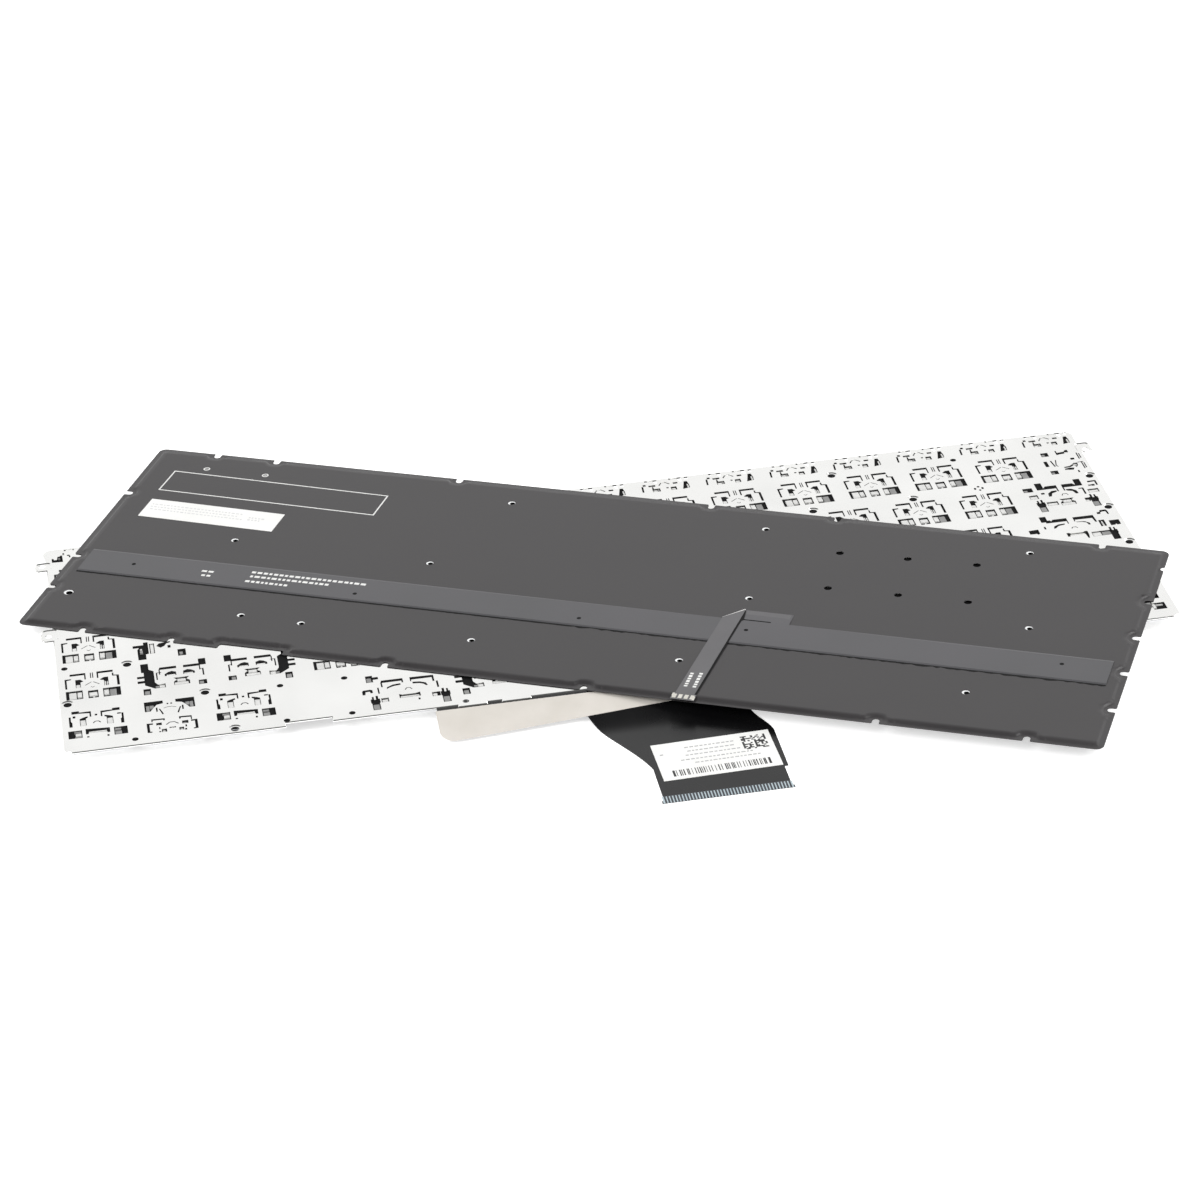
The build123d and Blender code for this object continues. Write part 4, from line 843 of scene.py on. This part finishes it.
RIGHT_NOTCHES = np.array([0.45, 0.08, -0.275, -0.63]) * SHEET_HALF_Y
LONG_RECESS = (-87.8, -69.8, 2.0)
GUIDE_Z, GUIDE_TOP, BORDER_TOP, COVER_TOP, COVER_THICK = 3.65, 4.05, 3.75, 4.15, 0.1
GUIDE_HALF_X, GUIDE_HALF_Y = 140.9, 47.4
STRIP_Y, STRIP_HALF_X, STRIP_HALF_Y = -15.1, 139.9, 6.0
LED_SLOT = (137.8, 1.0)
BORDER, BORDER_STEP, POCKET = 1.35, 0.75, 3.0
RIGHT_BITE = (40.2, 42.0, 1.0)
SHEET_HOLES = [(-103.8, 3.75), (-47.3, 2.75), (-35.9, 39.85), (-137.3, -32.75), (-87.4, -34.45),
               (-70.3, -35.05), (-23.7, -33.85), (31.8, -32.15), (41.3, 2.55), (36.3, 39.95), (59, 31.15),
               (77.4, 31.75), (96, 32.35), (108.4, 41.75), (60.3, 12.05), (79.1, 12.35), (97.7, 12.55),
               (115.7, 2.75), (106.4, -31.95)]
GUIDE_ROOM, LIP_FOOT, LIP_FACE = 0.6, 0.08, 0.01
SHEET_HOLE, GUIDE_HOLE, LIP_HOLE, LIP_SHIFT, LIP_HALF = 1.05, 1.6, 0.74, (0.23, -0.13), 1.9
DEEP_HOLES, WIDE_HOLE, WIDE_SCALE = (10, 11, 12, 14, 15, 16), 3, 1.3


def laid(shell):
    """Shell from the sheet's own frame to its place across the plate."""
    points, faces = shell
    return turned(points, SHEET_X, SHEET_Y, SHEET_TURN), faces


def edge_run(places, half, depth, turn, recess=None):
    """One edge of the sheet in its own direction, up to half and round the corner, with its notches and
    recess, whose feet end in quarter circles."""
    cuts = [(p - NOTCH_HALF, p + NOTCH_HALF, NOTCH_DEPTH) for p in places] + ([recess] if recess else [])
    bend = np.linspace(0, np.pi, 9)
    quarter = np.linspace(0, np.pi / 2, 7)
    run = []
    for start, end, cut in sorted(cuts):
        radius = min(NOTCH_HALF, (end - start) / 2)
        foot = np.where(bend < np.pi / 2, start + radius, end - radius) - radius * np.cos(bend)
        run += [(start - MOUTH[0], 0.0), (start, MOUTH[1]),
                *zip(foot, cut - radius + radius * np.sin(bend)), (end, MOUTH[1]), (end + MOUTH[0], 0.0)]
    run += [*zip(half - SHEET_CORNER * (1 - np.sin(quarter)), SHEET_CORNER * (1 - np.cos(quarter)))]
    run = np.array(run) - [0, depth]
    return turned(run, 0, 0, turn)


def sheet_outline():
    """Cover film's edge: four edges with their notches and round corners."""
    return np.concatenate([edge_run(NEAR_NOTCHES, SHEET_HALF_X, SHEET_HALF_Y, 0, LONG_RECESS),
                           edge_run(RIGHT_NOTCHES, SHEET_HALF_Y, SHEET_HALF_X, 90, RIGHT_BITE),
                           edge_run(-FAR_NOTCHES, SHEET_HALF_X, SHEET_HALF_Y, 180),
                           edge_run(-LEFT_NOTCHES, SHEET_HALF_Y, SHEET_HALF_X, 270)])


def notch_spots():
    """Middle of every notch, on the sheet's edge."""
    return np.concatenate([np.column_stack([FAR_NOTCHES, np.full(len(FAR_NOTCHES), SHEET_HALF_Y)]),
                           np.column_stack([NEAR_NOTCHES, np.full(len(NEAR_NOTCHES), -SHEET_HALF_Y)]),
                           np.column_stack([np.full(len(LEFT_NOTCHES), -SHEET_HALF_X), LEFT_NOTCHES]),
                           np.column_stack([np.full(len(RIGHT_NOTCHES), SHEET_HALF_X), RIGHT_NOTCHES])])


def cover_height(points):
    """Cover's upper face: the border's level, and a sloping step up to the middle's level where the
    distances from the edge, from the recess and from each notch pass the border."""
    x, y = points.T
    edge = np.minimum(SHEET_HALF_X - np.abs(x), SHEET_HALF_Y - np.abs(y))
    middle, half = (LONG_RECESS[0] + LONG_RECESS[1]) / 2, (LONG_RECESS[1] - LONG_RECESS[0]) / 2
    recess = np.hypot(np.maximum(np.abs(x - middle) - half, 0),
                      np.maximum(y + SHEET_HALF_Y - LONG_RECESS[2], 0))
    away = np.hypot(*(points[:, None] - notch_spots()).transpose(2, 0, 1)).min(axis=1) - POCKET + BORDER
    share = np.clip((np.minimum(np.minimum(edge, recess), away) - BORDER) / BORDER_STEP, 0, 1)
    return BORDER_TOP + (COVER_TOP - BORDER_TOP) * share


def border_points():
    """Inner points of the cover's net: rows along the four edges and rings round the notches and the
    recess's ends, close together where the step rises, and a wide grid in the middle."""
    steps = BORDER + BORDER_STEP * np.array(STEP_SHARES)
    along, across = np.arange(*LONG_ROWS, NET_STEP), np.arange(*SHORT_ROWS, NET_STEP)
    rows = [np.column_stack(np.broadcast_arrays(*pair)) for step in steps for side in (-1, 1)
            for pair in ((along, side * (SHEET_HALF_Y - step)), (side * (SHEET_HALF_X - step), across))]
    foot = np.arange(*LONG_RECESS[:2], NET_STEP)
    rows += [np.column_stack(np.broadcast_arrays(foot, LONG_RECESS[2] + step - SHEET_HALF_Y))
             for step in steps]
    ends = [(x, LONG_RECESS[2] - SHEET_HALF_Y) for x in LONG_RECESS[:2]]
    rows += [circle(x, y, step, 28) for step in steps for x, y in ends]
    rows += [circle(x, y, step - BORDER + POCKET, 28) for step in steps for x, y in notch_spots()]
    near = np.concatenate(rows)
    room = np.minimum(SHEET_HALF_X - np.abs(near[:, 0]), SHEET_HALF_Y - np.abs(near[:, 1]))
    return np.concatenate([near[room > NET_CLEAR], grid_points(*MIDDLE_GRID)])


hole_scale = np.where(np.arange(len(SHEET_HOLES)) == WIDE_HOLE, WIDE_SCALE, 1.0)
sheet_holes = [circle(x, y, SHEET_HOLE * scale, 16) for (x, y), scale in zip(SHEET_HOLES, hole_scale)]
net = punched_net(sheet_outline(), sheet_holes, border_points())
high = cover_height(net[0])
# Satin black film: gives back the room as an even dark grey, wavy where it lies loose.
black_cover = surface("black_satin_cover_film", ("#312f30", "#383637"), 45, 0.7, 0.005, (0.34, 0.42),
                      wave=(38, 0.12))
add_piece("drawn_cover_film", *laid(sheet_shell(net, high - COVER_THICK, high)), black_cover,
          "cover_film", replaced=["back_cover_film"], sharp=50)
slot = [block(-LED_SLOT[0], STRIP_Y - LED_SLOT[1], LED_SLOT[0], STRIP_Y + LED_SLOT[1])]
guide_holes = [circle(x, y, GUIDE_HOLE * scale, 16) for (x, y), scale in zip(SHEET_HOLES, hole_scale)]
clear = BORDER_STEP + GUIDE_ROOM
guide_holes += [circle(x, y, POCKET + clear, 24) for x, y in notch_spots()]
guide_holes.append(block(LONG_RECESS[0] - BORDER - clear, -SHEET_HALF_Y, LONG_RECESS[1] + BORDER + clear,
                         LONG_RECESS[2] + BORDER + clear - SHEET_HALF_Y))
net = punched_net(block(-GUIDE_HALF_X, -GUIDE_HALF_Y, GUIDE_HALF_X, GUIDE_HALF_Y), slot + guide_holes)
# Light guide acrylic: its fine dots make it milky, and it shows as bright rings in the holes.
milky_acrylic = surface("milky_acrylic", ("#f6f7f7", "#f0f2f2"), 30, 0.8, 0.003, (0.2, 0.3))
add_piece("drilled_light_guide", *laid(sheet_shell(net, GUIDE_Z, GUIDE_TOP)), milky_acrylic,
          "guide_plastic", replaced=["light_guide"])
lips = [punched_net(circle(x, y, LIP_HALF * scale, 24),
                    [circle(x + LIP_SHIFT[0], y + LIP_SHIFT[1], LIP_HOLE * scale, 20)])
        for i, ((x, y), scale) in enumerate(zip(SHEET_HOLES, hole_scale)) if i not in DEEP_HOLES]
shells = [sheet_shell(net, GUIDE_TOP - LIP_FOOT, GUIDE_TOP - LIP_FACE) for net in lips]
add_piece("guide_hole_lips", *laid(join_shells(shells)), milky_acrylic, "guide_plastic")
# Mask film: printed matte black, to let no light through.
dress("light_mask_film", surface("black_mask_film", ("#060606", "#0a0a0a"), 25, 0.6, 0.003, (0.75, 0.85),
                                 {"Specular IOR Level": 0.1}))
# Lamp housings: white moulded plastic.
dress("leds", surface("white_lamp_housing", ("#efefe9", "#e6e6df"), 2, 0.2, 0.002, (0.35, 0.45)))


# Lamp strip: a black flexible circuit under a grey cover tape. Its tail folds over at the tab and
# lies across the tape to the sheet's near edge, where it ends in tinned pads.
STRIP_Z, TAPE_Z, TAPE_TOP, FLEX_Z, FLEX_TOP = 4.15, 4.25, 4.33, 4.33, 4.43
TAB_LEFT, TAB_TOP, TAB_LENGTH, TAPE_LAP = 42.15, -3.9, 12.9, 0.6
FLEX_WIDTH, FLEX_LEAN, FLEX_END, FLEX_END_DEPTH, FLEX_EAR = 5.0, 1.9, -51.2, 2.9, 0.6
FOLD_LOW, FOLD_HIGH = 4.15, 4.45
EAR_EDGE, LEFT_PAD, RIGHT_PAD = 0.05, (1.5, 0.1), (0.2, 1.8)
TAPE_DRAPE, TAPE_THICK, TAB_MIDDLE, TAB_REACH = 0.14, 0.08, 48.6, 6.5
LAMP_HALF_X, LAMP_HALF_Y, EAR_THICK, SHADE_POINTS = 139.3, 5.4, 0.02, 260
ROLL_SIDE, ROLL_FULL, ROLL_TAPER = 0.25, 1.8, 1.2
TAPE_ROW, TAPE_ROW_STEP = (-139.2, 139.4), 4.0
TAPE_DOTS = [(-125.8, -14.95), (-61.5, -17.55), (0.6, -17.35), (44.8, -14.05), (127.3, -13.55)]
SLIT_LOW, SLIT_HIGH, SLIT_START, SLIT_END = -9.2, -8.7, 0.3, 50.15
SHADE_LAP, SHADE_SPREAD, WEDGE_FOOT, WEDGE_HEAD = 0.6, (0.08, 0.3), (0.1, 0.6), (0.2, 0.4)
TAPE_DOT, EDGE_WIDTH, WEDGE_WIDTH, SHADE_THICK = 0.6, 0.42, 0.75, 0.03

# Polyimide flex under a black cover layer: dark grey and satin.
flex_film = surface("dark_polyimide_flex", ("#565557", "#5f5e60"), 10, 0.5, 0.004, (0.34, 0.42))
strip_low, strip_high = STRIP_Y - LAMP_HALF_Y, STRIP_Y + LAMP_HALF_Y
arm_end = TAB_LEFT + TAB_LENGTH - TAPE_LAP
lower_strip = [(-LAMP_HALF_X, strip_low), (LAMP_HALF_X, strip_low), (LAMP_HALF_X, strip_high),
               (arm_end, strip_high), (arm_end, TAB_TOP), (TAB_LEFT, TAB_TOP),
               (TAB_LEFT - FLEX_WIDTH, TAB_TOP - FLEX_WIDTH), (TAB_LEFT + TAPE_LAP, TAB_TOP - FLEX_WIDTH),
               (TAB_LEFT + TAPE_LAP, strip_high), (-LAMP_HALF_X, strip_high)]
low_left, flex_right = TAB_LEFT - FLEX_WIDTH - FLEX_LEAN, TAB_LEFT - FLEX_LEAN
neck = FLEX_END + FLEX_END_DEPTH
flex_tail = [(TAB_LEFT, TAB_TOP), (TAB_LEFT - FLEX_WIDTH, TAB_TOP - FLEX_WIDTH), (low_left, neck),
             (low_left - FLEX_EAR, neck), (low_left - FLEX_EAR, FLEX_END),
             (flex_right + FLEX_EAR, FLEX_END), (flex_right + FLEX_EAR, neck), (flex_right, neck)]
fold_share = np.linspace(0, 1, 9)[:, None]
roll_turn = np.linspace(np.pi / 2, 3 * np.pi / 2, 10)
roll_mid, roll_half = (FOLD_LOW + FOLD_HIGH) / 2, (FOLD_HIGH - FOLD_LOW) / 2


def fold_roll():
    """Fold between the strip's arm and the tail: half a circle carried along the slanting fold line,
    with its flat side on the line and fuller towards the tab."""
    a, b = np.array([TAB_LEFT, TAB_TOP]), np.array([TAB_LEFT - FLEX_WIDTH, TAB_TOP - FLEX_WIDTH])
    out = np.array([-1, 1]) / np.sqrt(2)
    line = a + (b - a) * fold_share
    section = np.column_stack([-np.cos(roll_turn) * ROLL_SIDE, roll_mid + roll_half * np.sin(roll_turn)])
    wide = ROLL_FULL - ROLL_TAPER * fold_share[:, 0]
    rings = [np.column_stack([spot + section[:, :1] * out * w, section[:, 1]])
             for spot, w in zip(line, wide)]
    return ring_stack(rings)


# Painted highlight: the fold's roll coloured near white for the light its curve catches.
painted_highlight = surface("fold_painted_highlight", ("#f4f3f1", "#dcdbd9"), 2, 0.3, 0.003, (0.3, 0.38))
add_piece("flex_fold", *laid(fold_roll()), painted_highlight, "flex_film")
shells = [sheet_shell(punched_net(lower_strip), STRIP_Z, TAPE_Z),
          sheet_shell(punched_net(flex_tail), FLEX_Z, FLEX_TOP)]
add_piece("lamp_flex", *laid(join_shells(shells)), flex_film, "flex_film", replaced=["led_flex_strip"])
# Tinned copper: pale, with a soft metal shine.
tinned = surface("tinned_copper", ("#ebe8e0", "#dedbd2"), 1, 0.15, 0.003, (0.28, 0.36), {"Metallic": 0.8})
dress("flex_contacts", tinned)
ears = [(low_left - FLEX_EAR + EAR_EDGE, neck - LEFT_PAD[0], low_left, neck - LEFT_PAD[1]),
        (flex_right, FLEX_END + RIGHT_PAD[0], flex_right + FLEX_EAR - EAR_EDGE, FLEX_END + RIGHT_PAD[1])]
add_piece("tinned_ears", *laid(blocks(ears, FLEX_TOP, FLEX_TOP + EAR_THICK)), tinned, "pad_metal")

tape_flat = STRIP_HALF_Y - TAPE_LAP
tape_outline = [(-STRIP_HALF_X, STRIP_Y + tape_flat), (-STRIP_HALF_X, STRIP_Y - tape_flat),
                (-STRIP_HALF_X, STRIP_Y - STRIP_HALF_Y), (STRIP_HALF_X, STRIP_Y - STRIP_HALF_Y),
                (STRIP_HALF_X, STRIP_Y - tape_flat), (STRIP_HALF_X, STRIP_Y + tape_flat),
                (STRIP_HALF_X, STRIP_Y + STRIP_HALF_Y), (TAB_LEFT + TAB_LENGTH, STRIP_Y + STRIP_HALF_Y),
                (TAB_LEFT + TAB_LENGTH, TAB_TOP), (TAB_LEFT + SLIT_START, TAB_TOP),
                (TAB_LEFT + SLIT_START, SLIT_HIGH), (SLIT_END, SLIT_HIGH), (SLIT_END, SLIT_LOW),
                (-STRIP_HALF_X, STRIP_Y + STRIP_HALF_Y)]
# Polyester tape: a tone lighter and glossier than the film under it.
grey_tape = surface("grey_cover_tape", ("#49494b", "#515053"), 30, 0.5, 0.004, (0.32, 0.4), wave=(20, 0.06))
inside = np.concatenate([grid_points(*TAPE_ROW, STRIP_Y + dy, STRIP_Y + dy + 0.1, TAPE_ROW_STEP, 1.0)
                         for dy in (-LAMP_HALF_Y, LAMP_HALF_Y)])
net = punched_net(tape_outline, [circle(x, y, TAPE_DOT, 14) for x, y in TAPE_DOTS], inside)
x, y = net[0].T
rim = np.maximum(STRIP_HALF_Y - np.abs(y - STRIP_Y),
                 np.where(y > STRIP_Y, TAB_TOP - y, 0) * (np.abs(x - TAB_MIDDLE) < TAB_REACH))
high = TAPE_TOP - TAPE_DRAPE * (1 - np.clip(rim / TAPE_LAP, 0, 1)) ** 2
tape_shell = sheet_shell(net, np.maximum(high - TAPE_THICK, COVER_TOP), high)
add_piece("cover_tape", *laid(tape_shell), grey_tape, "tape_film", replaced=["strip_cover_tape"], sharp=6)

# Painted shade: thin black sheets laid where shadow falls, at the tape's near edge, beside the flex's right
# edge, in the slit and in the tape's dots.
shade_draws = np.random.default_rng(11)
shade_x = np.linspace(-STRIP_HALF_X, STRIP_HALF_X, SHADE_POINTS)
spread = np.where(shade_x < 0, *SHADE_SPREAD)
shade_low = STRIP_Y - STRIP_HALF_Y - SHADE_LAP + spread * shade_draws.uniform(-1, 1, SHADE_POINTS)
tape_edge = np.column_stack([shade_x[::-1], np.full(SHADE_POINTS, STRIP_Y - STRIP_HALF_Y)])
flex_side = [(flex_right, neck), (flex_right + EDGE_WIDTH, neck),
             (TAB_LEFT + EDGE_WIDTH - WEDGE_FOOT[0], SLIT_LOW - WEDGE_FOOT[1]),
             (TAB_LEFT + WEDGE_WIDTH, SLIT_LOW), (TAB_LEFT + WEDGE_WIDTH, SLIT_HIGH),
             (TAB_LEFT + WEDGE_HEAD[0], TAB_TOP - WEDGE_HEAD[1]), (TAB_LEFT, TAB_TOP - WEDGE_HEAD[1])]
shade_line = np.concatenate([np.column_stack([shade_x, shade_low]), tape_edge])
shells = [sheet_shell(punched_net(shade_line), COVER_TOP, COVER_TOP + SHADE_THICK),
          sheet_shell(punched_net(flex_side), FLEX_Z, FLEX_Z + 2 * SHADE_THICK),
          blocks([(TAB_LEFT + SLIT_START, SLIT_LOW, SLIT_END, SLIT_HIGH)], TAPE_Z, TAPE_Z + SHADE_THICK)]
shells += [sheet_shell(punched_net(circle(x, y, TAPE_DOT, 14)), TAPE_Z, TAPE_Z + SHADE_THICK)
           for x, y in TAPE_DOTS]
# Painted shade: a thin dull black for the shadow along the tape's near edge and the flex's right edge, in
# the slit and in the tape's dots.
painted_shade = surface("painted_shade_black", ("#0d0d0d", "#141414"), 4, 0.3, 0.004, (0.6, 0.7),
                     {"Specular IOR Level": 0.2})
add_piece("painted_shade_edges", *laid(join_shells(shells)), painted_shade, "cover_film")


# Sticker and screen print: a white paper sticker, and fine white lines and dashes printed on the
# cover film, the tape and the flex.
STICKER, STICKER_TOP = (-115.4, 15.8, -1.4), 4.21
STICKER_ROWS = [(-18.6, 9.0, 2.0, 0.5), (-18.6, 8.0, 0.6, 0.5), (-18.2, 10.5, -0.8, 0.5),
                (10.8, 15.6, 0.6, 0.7), (10.8, 15.6, -0.6, 0.7)]
RING_MARKS, RING_OUTER, RING_INNER = [(-126.7, 41.2), (-109.0, 41.0)], 0.95, 0.62
TAPE_ROWS = [(-92.6, -59.0, -12.9, 1.0), (-92.3, -69.0, -15.1, 1.0), (-92.7, -79.6, -17.8, 1.0),
             (-106.2, -102.0, -15.0, 0.9), (-105.5, -102.2, -17.2, 0.9)]
FLEX_ROWS = [(38.0, 45.4, 36.5, 0.9), (37.6, 45.4, 38.8, 0.9)]
RING_BAR = (0.45, 0.12)
TAPE_DASH, FLEX_DASH, STICKER_DASH = ((0.7, 1.5), 0.45), ((0.6, 1.1), 0.4), ((0.4, 1.0), 0.4)
FRAME_MARK = (-103.2, 31.7, -1.5)
FRAME_HALF_X, FRAME_HALF_Y, FRAME_LINE = 32.25, 5.85, 0.4

# Screen ink: flat white on the dark films.
white_ink = surface("white_screen_ink", ("#e8e8e6", "#dcdcda"), 2, 0.2, 0.002, (0.5, 0.6))
x, y, w = FRAME_HALF_X, FRAME_HALF_Y, FRAME_LINE
frame_lines = [(-x, -y, x, w - y), (-x, y - w, x, y), (-x, w - y, w - x, y - w), (x - w, w - y, x, y - w)]
points, faces = blocks(frame_lines, COVER_TOP, COVER_TOP + PRINT_THICK)
shells = [(turned(points, *FRAME_MARK), faces)]
for x, y in RING_MARKS:
    net = punched_net(circle(x, y, RING_OUTER, 24), [circle(x, y, RING_INNER, 24)])
    bar = (x - RING_BAR[0], y - RING_BAR[1], x + RING_BAR[0], y + RING_BAR[1])
    shells += [sheet_shell(net, COVER_TOP, COVER_TOP + PRINT_THICK),
               blocks([bar], COVER_TOP, COVER_TOP + PRINT_THICK)]
shells.append(blocks(dash_rows(TAPE_ROWS, draws, *TAPE_DASH), TAPE_TOP, TAPE_TOP + PRINT_THICK))
add_piece("white_print", *laid(join_shells(shells)), white_ink, "white_label")
flex_dashes = dash_rows(FLEX_ROWS, draws, *FLEX_DASH)
points, faces = blocks(flex_dashes[:, [1, 0, 3, 2]] * [1, -1, 1, -1], FLEX_TOP, FLEX_TOP + PRINT_THICK)
add_piece("flex_print", *laid((points, [face[::-1] for face in faces])), white_ink, "white_label")
dress("sheet_sticker", label_paper)
sticker_dashes = dash_rows(STICKER_ROWS, draws, *STICKER_DASH)
points, faces = blocks(sticker_dashes, STICKER_TOP, STICKER_TOP + PRINT_THICK)
# Fine print seen from afar: pale grey on the sticker.
pale_ink = surface("pale_print_ink", ("#cfcfcf", "#d6d6d6"), 3, 0.3, 0.002, (0.5, 0.6))
add_piece("sticker_print", *laid((turned(points, *STICKER), faces)), pale_ink, "white_label")


# Studio: a pale floor that runs out of view, an even white surround and two soft lamps, seen
# from the photograph's place with a long lens.
CAMERA_AT = (-0.1299, -0.8930, 0.5132)
CAMERA_RIGHT, CAMERA_UP, CAMERA_AHEAD = ((0.98491, -0.16790, -0.04223), (0.11952, 0.48294, 0.86746),
                                         (0.12525, 0.85941, -0.49571))
LENS, SENSOR = 117.04, 36.0
SKY_EDGE, SKY_TOP = (0.58, 0.8), 0.1
SOFTBOX_SIZE, FLOOR_HALF = 1.0, 3.0
lens = bpy.data.cameras.new("photo_camera")
lens.lens, lens.sensor_width, lens.sensor_fit = LENS, SENSOR, "HORIZONTAL"
lens.clip_start, lens.clip_end = 0.01, 20.0
camera = bpy.data.objects.new("photo_camera", lens)
turn = np.eye(4)
turn[:3] = np.column_stack([CAMERA_RIGHT, CAMERA_UP, -np.array(CAMERA_AHEAD), CAMERA_AT])
camera.matrix_world = Matrix(turn.tolist())
bpy.context.collection.objects.link(camera)
bpy.context.scene.camera = camera
bpy.context.scene.view_settings.view_transform = "Standard"

world = bpy.data.worlds.new("white_surround")
bpy.context.scene.world = world
world.use_nodes = True
sky = world.node_tree.nodes["Background"]
sky.inputs["Color"].default_value = (1.0, 1.0, 1.0, 1.0)
ray = add_node(world, "TexCoord", {}).outputs["Generated"]
height = add_node(world, "SeparateXYZ", {}, [("Vector", ray)]).outputs["Z"]
bright = add_node(world, "MapRange",
                  {"From Min": SKY_EDGE[0], "From Max": SKY_EDGE[1], "To Min": 1.0, "To Max": SKY_TOP,
                   "interpolation_type": "SMOOTHSTEP"}, [("Value", height)])
world.node_tree.links.new(bright.outputs["Result"], sky.inputs["Strength"])


def add_soft_lamp(name, spot, watts):
    """Square area lamp that looks at the keyboard's middle."""
    lamp = bpy.data.lights.new(name, "AREA")
    lamp.energy, lamp.size = watts, SOFTBOX_SIZE
    stand = bpy.data.objects.new(name, lamp)
    stand.matrix_world = (Matrix.Translation(spot)
                          @ (-Vector(spot)).to_track_quat("-Z", "Y").to_matrix().to_4x4())
    bpy.context.collection.objects.link(stand)


add_soft_lamp("left_softbox", (-1.3, -0.5, 1.3), 18.0)
add_soft_lamp("right_softbox", (1.3, -0.1, 1.3), 20.0)
floor_mesh = bpy.data.meshes.new("floor")
floor_corners = [(x, y, 0) for x, y in block(-FLOOR_HALF, -FLOOR_HALF, FLOOR_HALF, FLOOR_HALF)]
floor_mesh.from_pydata(floor_corners, [], [(0, 1, 2, 3)])
# White card that gives back light, so that it runs into the surround.
floor_mesh.materials.append(surface("pale_floor", ("#f4f4f4", "#f2f2f2"), 400, 5, 0.001, (0.7, 0.75),
                                    {"Emission Color": (1.0, 1.0, 1.0, 1.0), "Emission Strength": 0.55}))
floor = bpy.data.objects.new("floor", floor_mesh)
bpy.context.collection.objects.link(floor)
